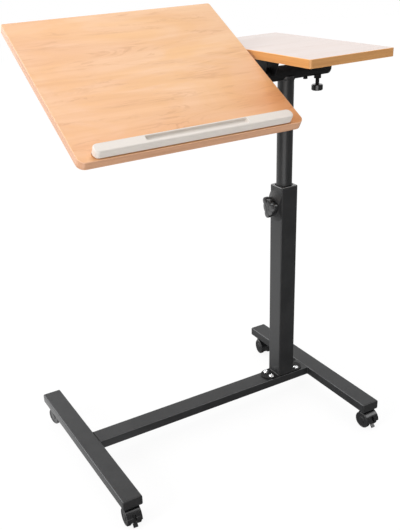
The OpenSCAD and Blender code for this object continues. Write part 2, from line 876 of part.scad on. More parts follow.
module side_bracket_screws() {
    color("#b4b8bc") at_side_brackets() at_bracket_screws()
        wood_screw(seat_h - bracket_t, bracket_t + screw_bite);
}

module main_bracket_screws() {
    color("#b4b8bc") at_main_brackets() at_bracket_screws()
        wood_screw(seat_h - bracket_t, bracket_t + screw_bite);
}

// Boards

// A board's outline, drawn in by an inset, with front corners of radius r
module board_outline(w, r, inset) {
    half_w = w / 2 - inset;
    half_d = board_d / 2 - inset;
    front_r = r - inset;
    back_r = back_corner - inset;
    translate([-half_w, front_r - half_d]) square([2 * half_w, 2 * half_d - front_r - back_r]);
    translate([front_r - half_w, -half_d]) square([2 * (half_w - front_r), half_d]);
    translate([back_r - half_w, 0]) square([2 * (half_w - back_r), half_d]);
    for (x = [-1, 1]) {
        translate([x * (half_w - front_r), front_r - half_d]) circle(front_r);
        translate([x * (half_w - back_r), half_d - back_r]) circle(back_r);
    }
}

module board_core(w, r) {
    translate([0, -board_shift, seat_h]) linear_extrude(board_t) board_outline(w, r, band_t);
}

module board_band(w, r) {
    translate([0, -board_shift, seat_h]) linear_extrude(board_t) difference() {
        board_outline(w, r, 0);
        board_outline(w, r, band_t);
    }
}

module screw_pilot(depth) {
    translate([0, 0, seat_h - over]) cylinder(r = screw_d / 2 + snug_fit, h = depth + over);
}

module side_board_core() {
    color("#e9d3c6") difference() {
        on_axis() translate([side_mid, 0, 0]) board_core(side_w, side_corner);
        at_side_brackets() at_bracket_screws() screw_pilot(screw_bite + face_gap);
    }
}

module side_board_edge() {
    color("#d99b5a") on_axis() translate([side_mid, 0, 0]) board_band(side_w, side_corner);
}

module main_board_core() {
    color("#eeb27c") difference() {
        on_tilt() translate([main_mid, 0, 0]) board_core(main_w, main_corner);
        at_main_brackets() at_bracket_screws() screw_pilot(screw_bite + face_gap);
        at_ledge_screws() screw_pilot(board_t + over);
        on_tilt() translate([main_mid, ledge_mid, seat_h + board_t - ledge_seat])
            linear_extrude(ledge_seat + over)
                round_rect(ledge_l + 2 * seat_fit, ledge_w + 2 * seat_fit, ledge_corner + seat_fit);
    }
}

module main_board_edge() {
    color("#c98552") on_tilt() translate([main_mid, 0, 0]) board_band(main_w, main_corner);
}

// Ledge

module at_ledge_screws() {
    on_tilt() for (x = ledge_screw_x) translate([main_mid + x, ledge_mid, 0]) children();
}

module ledge() {
    top = seat_h + board_t;
    groove_y = ledge_mid - ledge_w / 2 + groove_lip + groove_w / 2;
    color("#ece6dc") difference() {
        on_tilt() translate([main_mid, ledge_mid, top - ledge_seat])
            linear_extrude(ledge_h + ledge_seat) round_rect(ledge_l, ledge_w, ledge_corner);
        on_tilt() translate([main_mid, groove_y, top + ledge_h - groove_depth])
            linear_extrude(groove_depth + over) round_rect(groove_l, groove_w, 2);
        at_ledge_screws() translate([0, 0, top - ledge_seat - over])
            cylinder(r = screw_d / 2 + snug_fit, h = ledge_bite + ledge_seat + face_gap + over);
    }
}

module ledge_screws() {
    color("#b4b8bc") at_ledge_screws() wood_screw(seat_h, board_t + ledge_bite);
}

left_foot_tube();
right_foot_tube();
crossbar_tube();
foot_end_caps();
frame_welds();
post_base_plate();
base_plate_bolts();
base_plate_nuts();
lower_post_tube();
post_weld();
guide_bush();
clamp_housing();
clamp_weld_nut();
height_clamp_stud();
height_clamp_knob();
caster_inserts();
caster_stems();
at_caster(-1, -1, turn_near_left) caster_body(true);  // near_left_body
at_caster(-1, -1, turn_near_left) caster_axle();  // near_left_axle
at_caster(-1, -1, turn_near_left) caster_wheel(-1);  // near_left_wheel_a
at_caster(-1, -1, turn_near_left) caster_wheel(1);  // near_left_wheel_b
at_caster(-1, -1, turn_near_left) caster_brake();  // near_left_brake
at_caster(1, -1, turn_near_right) caster_body(true);  // near_right_body
at_caster(1, -1, turn_near_right) caster_axle();  // near_right_axle
at_caster(1, -1, turn_near_right) caster_wheel(-1);  // near_right_wheel_a
at_caster(1, -1, turn_near_right) caster_wheel(1);  // near_right_wheel_b
at_caster(1, -1, turn_near_right) caster_brake();  // near_right_brake
at_caster(-1, 1, turn_rear_left) caster_body(false);  // rear_left_body
at_caster(-1, 1, turn_rear_left) caster_axle();  // rear_left_axle
at_caster(-1, 1, turn_rear_left) caster_wheel(-1);  // rear_left_wheel_a
at_caster(-1, 1, turn_rear_left) caster_wheel(1);  // rear_left_wheel_b
at_caster(1, 1, turn_rear_right) caster_body(false);  // rear_right_body
at_caster(1, 1, turn_rear_right) caster_axle();  // rear_right_axle
at_caster(1, 1, turn_rear_right) caster_wheel(-1);  // rear_right_wheel_a
at_caster(1, 1, turn_rear_right) caster_wheel(1);  // rear_right_wheel_b
slide_guide();
upper_post_tube();
tilt_sleeve();
sleeve_weld();
sleeve_end_cap();
side_brackets();
side_bracket_screws();
side_board_core();
side_board_edge();
tilt_clamp_nut();
tilt_clamp_stud();
tilt_clamp_head();
stop_screw();
tilt_tube();
tilt_tube_cap();
main_brackets();
main_bracket_screws();
main_board_core();
main_board_edge();
ledge();
ledge_screws();
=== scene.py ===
import json
import logging
import math
from dataclasses import dataclass
from enum import Enum
from functools import cache
from typing import Any, Callable, Optional, Sequence

import bmesh
import bpy
from mathutils import Matrix, Vector


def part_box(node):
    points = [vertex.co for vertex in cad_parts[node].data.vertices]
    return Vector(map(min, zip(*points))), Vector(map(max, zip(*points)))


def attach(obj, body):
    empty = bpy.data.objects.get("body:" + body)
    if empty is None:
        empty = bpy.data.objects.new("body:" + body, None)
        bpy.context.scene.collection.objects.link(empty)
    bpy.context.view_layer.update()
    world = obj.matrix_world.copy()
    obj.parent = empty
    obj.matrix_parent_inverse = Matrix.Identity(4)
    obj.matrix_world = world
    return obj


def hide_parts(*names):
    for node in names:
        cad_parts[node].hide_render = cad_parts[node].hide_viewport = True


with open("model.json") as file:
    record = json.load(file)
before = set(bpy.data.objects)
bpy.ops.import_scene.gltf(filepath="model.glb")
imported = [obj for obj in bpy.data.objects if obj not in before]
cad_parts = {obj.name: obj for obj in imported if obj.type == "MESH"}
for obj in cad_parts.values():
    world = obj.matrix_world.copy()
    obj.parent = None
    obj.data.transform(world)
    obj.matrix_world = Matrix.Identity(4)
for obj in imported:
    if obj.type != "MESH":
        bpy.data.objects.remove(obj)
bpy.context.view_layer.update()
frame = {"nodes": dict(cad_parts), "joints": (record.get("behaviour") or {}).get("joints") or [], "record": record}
log = logging.getLogger("laptop_table")

RECORD: dict = frame["record"]
BODY_OF: dict[str, str] = {n: b for b, ns in RECORD["behaviour"]["bodies"].items() for n in ns}
JOINTS: dict[str, dict] = {j["name"]: j for j in frame["joints"]}
MERGE = 2e-6
TINY = 2e-5
NONZERO = 1e-6
ARRIS = "arris"
QUARTER = math.pi / 2
FINE_BEVEL = 0.0005
THREAD_ROWS = 6
THREAD_SIDES = 24
FLAT = math.radians(0.5)
SMOOTH = math.radians(34)
SHARP = math.radians(40)
Mesh = bpy.types.Mesh
Node = bpy.types.Node
Socket = bpy.types.NodeSocket
Colour = tuple[float, float, float]
Point = tuple[float, float, float]
Spot = Sequence[float]
Loop = list[Vector]
ByAngle = Callable[[float], float]
Radius = float | ByAngle
Row = tuple[Radius, float]
Noise = tuple[float, ...]


def joint_spot(name: str) -> Vector:
    """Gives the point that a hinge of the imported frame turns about."""
    return Vector(JOINTS[name]["pos_m"])


def packed_box(node: str) -> tuple[Vector, Vector, Vector]:
    """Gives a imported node's low corner, high corner and middle."""
    low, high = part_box(node)
    return low, high, (low + high) / 2


def assign(item: Any, **settings: Any) -> Any:
    """Sets attributes of a Blender item and gives it back."""
    for key, value in settings.items():
        setattr(item, key, value)
    return item


def operation(name: str, swapped: bool = False) -> Callable[..., "Signal"]:
    """Gives a method of Signal that adds a Math node; swapped puts the signal last."""
    def method(self: "Signal", *others: Any) -> "Signal":
        """Works on this signal and the other values."""
        values = (*others, self) if swapped else (self, *others)
        return Signal(self.shader, self.shader.out("ShaderNodeMath", dict(enumerate(values)),
                                                   operation=name))
    return method


class Signal:
    """A shader socket that takes part in Python sums, each of which adds a Math node."""

    def __init__(self, shader: "Shader", socket: Socket) -> None:
        """Wraps one output socket of a shader's node tree."""
        self.shader = shader
        self.socket = socket

    __add__ = __radd__ = operation("ADD")
    __sub__ = operation("SUBTRACT")
    __rsub__ = operation("SUBTRACT", swapped=True)
    __mul__ = __rmul__ = operation("MULTIPLY")
    __abs__ = operation("ABSOLUTE")

    def step(self, low: float, high: float) -> "Signal":
        """Rises smoothly from 0 at low to 1 at high."""
        values = {"Value": self, "From Min": low, "From Max": high}
        return Signal(self.shader, self.shader.out("ShaderNodeMapRange", values,
                                                   interpolation_type="SMOOTHSTEP"))


class Tree:
    """A node tree that takes each node together with its inputs and settings."""

    def __init__(self, tree: bpy.types.NodeTree) -> None:
        """Empties the tree."""
        self.tree = tree
        self.tree.nodes.clear()

    def node(self, kind: str, values: Optional[dict] = None, **settings: Any) -> Node:
        """Adds a node.

        Args:
            kind: Blender's type of the node.
            values: Each input's name or number, with its value, signal or socket.
            settings: The node's own settings, which come before its inputs.

        Returns:
            The new node.
        """
        made = assign(self.tree.nodes.new(kind), **settings)
        for key, value in (values or {}).items():
            self.feed(made.inputs[key], value)
        return made

    def out(self, kind: str, values: Optional[dict] = None, key: Any = 0,
            **settings: Any) -> Socket:
        """Adds a node and gives its output of the key's name or number."""
        return self.node(kind, values, **settings).outputs[key]

    def feed(self, socket: Socket, value: Any) -> None:
        """Links a signal or socket to an input, or writes a plain value there."""
        if isinstance(value, Signal):
            value = value.socket
        if isinstance(value, Socket):
            self.tree.links.new(value, socket)
        else:
            socket.default_value = value


class Shader(Tree):
    """A tree of shader nodes."""

    def __init__(self, tree: bpy.types.NodeTree) -> None:
        """Empties the tree and adds its texture coordinates."""
        super().__init__(tree)
        self.coordinates = self.node("ShaderNodeTexCoord").outputs

    def vector(self, operation: str, *values: Any, key: str = "Vector") -> Socket:
        """Adds a Vector Math node and gives its output of the key's name."""
        return self.out("ShaderNodeVectorMath", dict(enumerate(values)), key,
                        operation=operation)

    def place(self, scale: Spot = (1, 1, 1), turn: float = 0.0, about: Spot = (0, 0, 0)) -> Socket:
        """Gives Object coordinates, turned back about an X axis and then stretched.

        Args:
            scale: How much each turned axis is multiplied by.
            turn: The angle about X, in radians, that the piece is turned by.
            about: A point on the axis that it turns about.

        Returns:
            The coordinates' socket.
        """
        shift = self.vector("SUBTRACT", self.coordinates["Object"], tuple(about))
        upright = self.out("ShaderNodeMapping", {"Vector": shift, "Rotation": (-turn, 0, 0)})
        return self.vector("MULTIPLY", upright, tuple(scale))

    def axes(self, turn: float, about: Spot) -> list[Signal]:
        """Gives Object coordinates as three signals, turned back as place turns them."""
        split = self.node("ShaderNodeSeparateXYZ", {0: self.place((1, 1, 1), turn, about)})
        return [Signal(self, socket) for socket in split.outputs]

    def noise(self, place: Socket, scale: float, detail: float = 2.0, roughness: float = 0.5,
              distortion: float = 0.0) -> Signal:
        """Adds a noise texture and gives its value, about 0 to 1."""
        return Signal(self, self.out("ShaderNodeTexNoise", {
            "Vector": place, "Scale": scale, "Detail": detail, "Roughness": roughness,
            "Distortion": distortion}, noise_dimensions="3D"))

    def mix(self, factor: Any, first: Any, second: Any, how: str = "MIX") -> Socket:
        """Mixes two colours, which are linear triples or sockets."""
        values = {0: factor}
        for key, colour in ((6, first), (7, second)):
            values[key] = (*colour, 1.0) if isinstance(colour, tuple) else colour
        return self.out("ShaderNodeMix", values, 2, data_type="RGBA", blend_type=how,
                        clamp_factor=True)

    def blend(self, factor: Any, first: Node, second: Node) -> Node:
        """Mixes two shaders."""
        return self.node("ShaderNodeMixShader", {
            0: factor, 1: first.outputs[0], 2: second.outputs[0]})


class Surface(Shader):
    """The node tree of one material."""

    def __init__(self, name: str) -> None:
        """Makes a material with a Principled shader and an output."""
        self.material = assign(bpy.data.materials.new(name), use_nodes=True)
        super().__init__(self.material.node_tree)
        self.surface = self.node("ShaderNodeBsdfPrincipled")
        self.output = self.node("ShaderNodeOutputMaterial", {"Surface": self.surface.outputs[0]})

    def bump(self, height: Signal, distance: float) -> None:
        """Feeds the shader's Normal from a height, distance metres deep."""
        self.set({"Normal": self.out("ShaderNodeBump", {
            "Height": height, "Distance": distance, "Strength": 1.0})})

    def set(self, values: dict[str, Any]) -> None:
        """Feeds inputs of the Principled shader."""
        for name, value in values.items():
            if isinstance(value, tuple):
                value = (*value, 1.0)
            self.feed(self.surface.inputs[name], value)


@dataclass(frozen=True)
class Finish:
    """A finish: its name, its colour in linear values and its mean roughness."""

    name: str
    colour: Colour
    roughness: float

    @cache
    def build(self) -> bpy.types.Material:
        """Makes the finish's material once and gives it again after that."""
        shader = Surface(self.name)
        shader.set({"Base Color": self.colour, "Roughness": self.roughness})
        self.paint(shader)
        return shader.material

    def paint(self, shader: Surface) -> None:
        """Adds the finish's own nodes; each kind of finish has its own."""
        raise NotImplementedError

    def tone(self, factor: float) -> Colour:
        """Gives the colour, lightened or darkened by a factor."""
        return tuple(min(1.0, c * factor) for c in self.colour)

    def tones(self, shader: Surface, where: Signal, low: float, high: float) -> Socket:
        """Gives the colour in two tones, the low one where the signal is 0."""
        return shader.mix(where, self.tone(low), self.tone(high))


@dataclass(frozen=True)
class PowderCoat(Finish):
    """Baked powder on steel: orange peel, faint clouds, a few dust specks and a painted highlight along its
    rounded arrises.
    """

    peel_scale: float = 620.0
    peel_depth: float = 0.00006
    cloud_scale: float = 26.0
    cloud_tones: tuple[float, float] = (0.86, 1.16)
    speck_scale: float = 1500.0
    speck_tone: float = 3.2
    level: float = 0.5
    # How much lighter the rounded arrises are painted, as a painted highlight.
    arris_highlight: float = 1.0

    def paint(self, shader: Surface) -> None:
        """Adds orange peel, cloudy gloss, specks and a painted highlight on the rounded arrises."""
        place = shader.place()
        peel = shader.noise(place, self.peel_scale, 2.0, 0.55)
        cloud = shader.noise(place, self.cloud_scale, 3.0, 0.6)
        speck = shader.noise(place, self.speck_scale, 1.0).step(0.74, 0.8)
        tint = self.tones(shader, cloud.step(0.3, 0.7), *self.cloud_tones)
        # Painted highlight: the colour is lightened where the shading leans between upright and level, on the
        # rounded arrises.
        highlight_lean = Signal(shader, shader.out("ShaderNodeAttribute", {}, "Fac", attribute_name=ARRIS))
        tint = shader.mix(highlight_lean.step(0.45, 1.0) * (0.5 + cloud * 0.8), tint, self.tone(self.arris_highlight))
        shader.set({
            "Base Color": shader.mix(speck * 0.35, tint, self.tone(self.speck_tone)),
            "Roughness": self.roughness + (cloud - 0.5) * 0.14 + (peel - 0.5) * 0.12,
            "Specular IOR Level": self.level})
        shader.bump(peel, self.peel_depth)


class Grade(Enum):
    """How a plastic's mould was finished, as the depth of its texture in metres."""

    SATIN = 0.000012
    SPARKED = 0.00004


@dataclass(frozen=True)
class Plastic(Finish):
    """Moulded plastic with the texture of its mould."""

    grade: Grade = Grade.SATIN
    coat: float = 0.0
    level: float = 0.5
    cloud: float = 0.07
    flow_scale: float = 60.0
    haze_scale: float = 240.0
    texture_scale: float = 1400.0

    def paint(self, shader: Surface) -> None:
        """Adds flow marks, handling haze and the mould's texture."""
        place = shader.place()
        flow = shader.noise(place, self.flow_scale, 3.0, 0.55, 0.6)
        haze = shader.noise(place, self.haze_scale, 2.0)
        shader.set({
            "Base Color": self.tones(shader, flow.step(0.3, 0.7), 1 - self.cloud, 1 + self.cloud),
            "Roughness": self.roughness + (flow - 0.5) * 0.1 + (haze - 0.5) * 0.08,
            "Specular IOR Level": self.level, "Coat Weight": self.coat, "Coat Roughness": 0.08})
        shader.bump(shader.noise(place, self.texture_scale, 2.0), self.grade.value)


@dataclass(frozen=True)
class Plating(Finish):
    """Bright plating over steel, with fine turning marks."""

    mark_scale: float = 900.0
    mark_depth: float = 0.000008
    cloud_scale: float = 150.0
    cloud_tones: tuple[float, float] = (0.85, 1.05)

    def paint(self, shader: Surface) -> None:
        """Adds turning marks and a slightly clouded gloss."""
        place = shader.place()
        marks = shader.noise(place, self.mark_scale, 2.0)
        cloud = shader.noise(place, self.cloud_scale, 2.0)
        shader.set({"Metallic": 1.0, "Roughness": self.roughness + (marks - 0.5) * 0.12,
                    "Base Color": self.tones(shader, cloud, *self.cloud_tones)})
        shader.bump(marks, self.mark_depth)


@dataclass(frozen=True, kw_only=True)
class Wood(Finish):
    """A printed grain that lies in a board's own plane."""

    dark: Colour
    tilt: float
    about: Point
    seed: float = 0.0

    def grain(self, shader: Surface, scale: Point, *rest: float) -> Signal:
        """Gives noise that is stretched along the board's own axes."""
        x, y, z = self.about
        return shader.noise(shader.place(scale, self.tilt, (x + self.seed, y, z)), 1.0, *rest)


@dataclass(frozen=True, kw_only=True)
class Laminate(Wood):
    """A printed beech foil: soft streaks, flame lines, fibres and flecks, with painted shade that darkens it
    towards the front, the front right corner and the left.

    Each noise is given by its scales along and across the grain, its detail, its roughness
    and, for some, its distortion.
    """

    warm: Colour
    knot: Colour
    # The colour and strength of painted shade that darkens the foil towards the front, the front right corner and
    # the left.
    deep: Colour = (0.9, 0.75, 0.6)
    painted_shade: float = 0.0
    contrast: float = 1.0
    glare: float = 0.0
    print_depth: float = 0.00003
    patches: Noise = (5.0, 13.0, 3.0, 0.55, 0.8)
    waves: Noise = (2.4, 19.0, 4.0, 0.55, 1.1)
    streaks: Noise = (3.4, 70.0, 5.0, 0.62, 0.5)
    fibres: Noise = (26.0, 900.0, 3.0, 0.6)
    flecks: Noise = (60.0, 480.0, 2.0, 0.5)
    swirls: Noise = (4.2, 24.0, 4.0, 0.6, 2.2)
    breaks: Noise = (11.0, 60.0, 2.0, 0.5)

    def paint(self, shader: Surface) -> None:
        """Lays the grain along X on the board's own plane, and paints shade towards the front, the front right
        corner and the left.
        """
        def grain(along: float, across: float, *rest: float) -> Signal:
            """Gives noise that is stretched along X."""
            return self.grain(shader, (along, across, across * 0.3), *rest)

        patch = grain(*self.patches).step(0.38, 0.66)
        wave = grain(*self.waves)
        streak = grain(*self.streaks)
        fibre = grain(*self.fibres)
        fleck = grain(*self.flecks).step(0.66, 0.76)
        swirl = grain(*self.swirls)
        flame = (1.0 - abs(swirl - 0.5).step(0.006, 0.05)) * wave.step(0.43, 0.57)
        flame = flame * grain(*self.breaks).step(0.4, 0.66)
        depth = wave.step(0.36, 0.68) * 0.36 + streak.step(0.36, 0.7) * 0.28
        wood = self.colour
        for where, share, colour in ((patch, 0.9, self.warm),
                                     (depth + (fibre - 0.5) * 0.14, 1.0, self.dark),
                                     (fleck, 0.14, self.knot), (flame, 0.46, self.knot)):
            wood = shader.mix(where * (share * self.contrast), wood, colour)
        # Painted shade: a mask that darkens the foil towards the front, at the front right corner and towards the
        # left.
        x, y = shader.axes(self.tilt, self.about)[:2]
        front = y * -1.0
        near = front.step(0.02, 0.19) * 0.2 + x.step(0.07, 0.2) * front.step(-0.02, 0.15) * 0.66
        near = near + (x * -1.0).step(-0.06, 0.2) * 0.24
        shader.set({
            "Base Color": shader.mix(near * self.painted_shade, wood, self.deep, "MULTIPLY"),
            "Roughness": self.roughness + (streak - 0.5) * 0.1 + flame * 0.05,
            "Coat Weight": self.glare, "Coat Roughness": 0.16, "Coat IOR": 1.7})
        shader.bump(fibre + streak * 0.5, self.print_depth)


@dataclass(frozen=True, kw_only=True)
class EdgeBand(Wood):
    """Plastic edge banding with a printed grain along the edge and a painted highlight along both arrises.

    Its faces are the heights of the board's two faces above the tilt axis.
    """

    faces: tuple[float, float]
    print_depth: float = 0.00004
    streaks: tuple[Point, float, float] = ((9.0, 9.0, 420.0), 3.0, 0.6)
    clouds: tuple[Point, float, float, float] = ((3.0, 3.0, 90.0), 3.0, 0.5, 0.5)
    # How far in from each face the painted arris highlight reaches, and how much lighter it is.
    highlight_reach: tuple[float, float] = (0.0012, 0.0004)
    highlight_tone: float = 1.4

    def paint(self, shader: Surface) -> None:
        """Lays thin streaks along the edge, whichever way it runs, and paints a highlight along its arrises."""
        streak = self.grain(shader, *self.streaks)
        cloud = self.grain(shader, *self.clouds)
        depth = streak.step(0.3, 0.75) * 0.45 + cloud.step(0.35, 0.7) * 0.4
        # Painted highlight: the band is paler within about a millimetre of each face, along its arrises.
        half = (self.faces[1] - self.faces[0]) / 2
        off = abs(shader.axes(self.tilt, self.about)[2] - (self.faces[0] + half))
        start, end = (half - reach for reach in self.highlight_reach)
        edge_highlight = off.step(start, end) * (0.7 + (cloud - 0.5) * 0.6)
        band = shader.mix(depth, self.colour, self.dark)
        shader.set({"Base Color": shader.mix(edge_highlight, band, self.tone(self.highlight_tone)),
                    "Roughness": self.roughness + (streak - 0.5) * 0.12,
                    "Coat Weight": 0.5, "Coat Roughness": 0.2})
        shader.bump(streak, self.print_depth)


@dataclass(frozen=True)
class Finishes:
    """Every finish on the table but the boards'."""

    # The coat's rounded arrises are painted lighter, 4.5 times its colour, as a painted highlight.
    coat: Finish = PowderCoat("black powder coat", (0.02, 0.0205, 0.0215), 0.42, arris_highlight=4.5)
    # A darker copy of the powder coat, as painted shade, for the parts under the boards and for the post's foot
    # plate.
    shade: Finish = PowderCoat("black powder coat, darkened as painted shade", (0.008, 0.008, 0.0085), 0.5, level=0.22)
    weld: Finish = PowderCoat("powder over weld", (0.019, 0.019, 0.02), 0.36, peel_scale=400.0)
    gloss: Finish = Plastic("gloss black plastic", (0.012, 0.012, 0.013), 0.26, coat=0.4)
    satin: Finish = Plastic("satin black plastic", (0.021, 0.021, 0.022), 0.42)
    moulded: Finish = Plastic("black plastic, half gloss", (0.03, 0.03, 0.031), 0.24, coat=1.0)
    dull: Finish = Plastic("dull black plastic", (0.022, 0.022, 0.023), 0.55, level=0.3)
    tread: Finish = Plastic("nylon tread", (0.016, 0.016, 0.017), 0.38, grade=Grade.SPARKED)
    cream: Finish = Plastic("cream plastic", (0.77, 0.712, 0.655), 0.38, cloud=0.012)
    zinc: Finish = Plating("bright zinc", (0.66, 0.68, 0.7), 0.26)
    chrome: Finish = Plating("polished plating", (0.86, 0.87, 0.88), 0.12)


FINISH = Finishes()


def quarter(steps: int) -> list[tuple[float, float]]:
    """Gives 1 - cosine and 1 - sine at each step of a quarter turn."""
    turns = [i / steps * QUARTER for i in range(steps + 1)]
    return [(1 - math.cos(turn), 1 - math.sin(turn)) for turn in turns]


@dataclass(frozen=True)
class Outline:
    """A closed outline with four round corners, drawn anticlockwise as seen from above."""

    width: float
    depth: float
    radius: float
    steps: int = 6
    x: float = 0.0
    y: float = 0.0
    back: Optional[float] = None

    def loop(self, inset: float, z: float) -> Loop:
        """Gives the outline's points at height z, drawn in by an inset."""
        points = []
        for turn, (sx, sy) in enumerate(((1, 1), (-1, 1), (-1, -1), (1, -1))):
            drawn = self.back if self.back is not None and sy > 0 else self.radius
            radius = max(drawn - inset, TINY)
            across = self.width / 2 - inset - radius
            along = self.depth / 2 - inset - radius
            for step in range(self.steps + 1):
                angle = (turn + step / self.steps) * QUARTER
                points.append(Vector((self.x + sx * across + radius * math.cos(angle),
                                      self.y + sy * along + radius * math.sin(angle), z)))
        return points


def disc(radius: float, steps: int, x: float = 0.0, y: float = 0.0) -> Outline:
    """Gives a round outline with 4 * steps sides."""
    return Outline(2 * radius, 2 * radius, radius, steps, x, y)


def radial(count: int, shape: Radius, z: float, drop: Radius = 0.0) -> Loop:
    """Gives a loop about Z.

    Args:
        count: How many points it has.
        shape: Its radius, which may depend on the angle.
        z: Its height.
        drop: How far below z it runs, which may depend on the angle too.

    Returns:
        The loop's points.
    """
    points = []
    for angle in (i * math.tau / count for i in range(count)):
        reach, down = (v(angle) if callable(v) else v for v in (shape, drop))
        points.append(Vector((reach * math.cos(angle), reach * math.sin(angle), z - down)))
    return points


def rings(count: int, rows: Sequence[Row]) -> list[Loop]:
    """Gives a loop about Z for each pair of a radius and a height."""
    return [radial(count, shape, z) for shape, z in rows]


def hexagon(flats: float) -> ByAngle:
    """Gives the radius of a hexagon, by angle, from its size across the flats."""
    return lambda angle: flats / 2 / math.cos(angle % (math.pi / 3) - math.pi / 6)


def cross_slot(length: float, width: float) -> ByAngle:
    """Gives the radius of a cross recess, by angle, from its arms' length and width."""
    def shape(angle: float) -> float:
        """Gives the radius at one angle."""
        off = (angle + math.pi / 4) % QUARTER - math.pi / 4
        return min(length / 2 / math.cos(off), width / 2 / max(abs(math.sin(off)), NONZERO))
    return shape


def rounded_edge(outline: Outline, z: float, radius: float, top: bool,
                 steps: int = 4) -> list[Loop]:
    """Gives the loops that round an outer edge.

    Args:
        outline: The outline of the piece at its full width.
        z: The height of the face beside the edge.
        radius: The radius of the rounding.
        top: True for an upper edge, False for a lower one.
        steps: How many faces the rounding has.

    Returns:
        The loops in rising order.
    """
    side = -radius if top else radius
    loops = [outline.loop(radius * out, z + side * up) for out, up in quarter(steps)]
    return loops if top else loops[::-1]


def eased(points: Sequence[tuple[float, float]], radius: float,
          steps: int = 3) -> list[tuple[float, float]]:
    """Rounds the inner corners of an open outline of points.

    Args:
        points: The corners in order.
        radius: How far from each corner its rounding starts, where there is room.
        steps: How many faces each rounding has.

    Returns:
        The points of the rounded outline.
    """
    corners = [Vector(p) for p in points]
    out = [corners[0]]
    for before, corner, after in zip(corners, corners[1:], corners[2:]):
        back, on = before - corner, after - corner
        reach = min(radius, back.length * 0.49, on.length * 0.49)
        start, end = corner + back.normalized() * reach, corner + on.normalized() * reach
        for t in (i / steps for i in range(steps + 1)):
            out.append(start * (1 - t) ** 2 + corner * (2 * t * (1 - t)) + end * t ** 2)
    out.append(corners[-1])
    return [(p.x, p.y) for p in out]


class Solid:
    """A closed mesh that is built from loops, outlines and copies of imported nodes."""

    def __init__(self) -> None:
        """Starts with no faces."""
        self.bm = bmesh.new()

    def loft(self, loops: Sequence[Loop], ring: bool = False) -> "Solid":
        """Lays faces between loops with equally many points.

        Args:
            loops: The loops in order.
            ring: True if the last loop joins the first, as round a tube's wall. Otherwise
                the first and last loops are closed with a face.

        Returns:
            This solid.
        """
        rows = [[self.bm.verts.new(p) for p in loop] for loop in loops]
        pairs = list(zip(rows, rows[1:]))
        if ring:
            pairs.append((rows[-1], rows[0]))
        count = len(rows[0])
        for low, high in pairs:
            for i in range(count):
                j = (i + 1) % count
                self.bm.faces.new((low[i], low[j], high[j], high[i]))
        if not ring:
            self.bm.faces.new(list(reversed(rows[0])))
            self.bm.faces.new(rows[-1])
        return self

    def block(self, outline: Outline, low: float, high: float,
              eases: tuple[float, float]) -> "Solid":
        """Stands an outline between two heights, with its lower and upper edges rounded."""
        return self.loft(rounded_edge(outline, low, eases[0], False)
                         + rounded_edge(outline, high, eases[1], True))

    def tube(self, outline: Outline, wall: float, low: float, high: float) -> "Solid":
        """Stands a tube with open ends between two heights."""
        return self.loft([outline.loop(inset, z) for inset, z in (
            (0, low), (0, high), (wall, high), (wall, low))], ring=True)

    def turned(self, profile: Sequence[tuple[float, float]], steps: int = 14,
               ring: bool = False) -> "Solid":
        """Turns a profile of (radius, height) pairs about Z."""
        return self.loft([disc(max(r, TINY), steps).loop(0.0, z) for r, z in profile], ring)

    def thread(self, radius: float, low: float, high: float, pitch: float,
               depth: float) -> "Solid":
        """Stands a screw thread along Z, whose crest is at the radius."""
        rows = max(2, round((high - low) / pitch * THREAD_ROWS))

        def crest(z: float) -> ByAngle:
            """Gives the thread's radius by angle at one height."""
            return lambda angle: radius - depth * (
                1 - abs(2 * ((z / pitch - angle / math.tau) % 1.0) - 1))

        heights = [low + (high - low) * row / rows for row in range(rows + 1)]
        return self.loft(rings(THREAD_SIDES, [(crest(z), z) for z in heights]))

    def packed(self, node: str) -> "Solid":
        """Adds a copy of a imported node, with its loose triangles joined into faces."""
        self.bm.from_mesh(frame["nodes"][node].data)
        bmesh.ops.remove_doubles(self.bm, verts=self.bm.verts, dist=MERGE)
        bmesh.ops.dissolve_limit(self.bm, angle_limit=FLAT, verts=self.bm.verts,
                                 edges=self.bm.edges)
        return self

    def moved(self, matrix: Matrix) -> "Solid":
        """Moves everything that the solid holds so far."""
        self.bm.transform(matrix)
        return self

    def mesh(self) -> Mesh:
        """Closes doubles and poles, points every face outwards and gives the mesh."""
        bmesh.ops.remove_doubles(self.bm, verts=self.bm.verts, dist=MERGE)
        bmesh.ops.dissolve_degenerate(self.bm, dist=MERGE, edges=self.bm.edges)
        bmesh.ops.recalc_face_normals(self.bm, faces=self.bm.faces)
        return written(self.bm, "solid")


def written(bm: bmesh.types.BMesh, name: str) -> Mesh:
    """Writes a bmesh into a new mesh and frees it."""
    made = bpy.data.meshes.new(name)
    bm.to_mesh(made)
    bm.free()
    return made


def joined(lie: Matrix, *meshes: Mesh) -> Mesh:
    """Puts several meshes into one and moves it."""
    bm = bmesh.new()
    for mesh in meshes:
        bm.from_mesh(mesh)
    made = written(bm, "joined")
    made.transform(lie)
    return made


def baked(item: bpy.types.Object) -> Mesh:
    """Gives an object's mesh with its modifiers applied, and takes the modifiers off."""
    bpy.context.view_layer.update()
    graph = bpy.context.evaluated_depsgraph_get()
    mesh = bpy.data.meshes.new_from_object(item.evaluated_get(graph),
                                           preserve_all_data_layers=True, depsgraph=graph)
    item.modifiers.clear()
    return mesh


def new_object(name: str, data: Any) -> bpy.types.Object:
    """Links a mesh, lamp or camera into the scene as an object at the origin."""
    made = bpy.data.objects.new(name, data)
    bpy.context.scene.collection.objects.link(made)
    return made


def mark_arrises(mesh: Mesh) -> None:
    """Stores at each face corner how far its shading leans between upright and level, the mask of the powder
    coat's painted arris highlight.
    """
    lean = [4 * n.vector.z ** 2 * (1 - n.vector.z ** 2) for n in mesh.corner_normals]
    mesh.attributes.new(ARRIS, "FLOAT", "CORNER").data.foreach_set("value", lean)


def dress(mesh: Mesh, finish: Finish) -> None:
    """Gives a mesh one finish all over."""
    mesh.materials.clear()
    mesh.materials.append(finish.build())


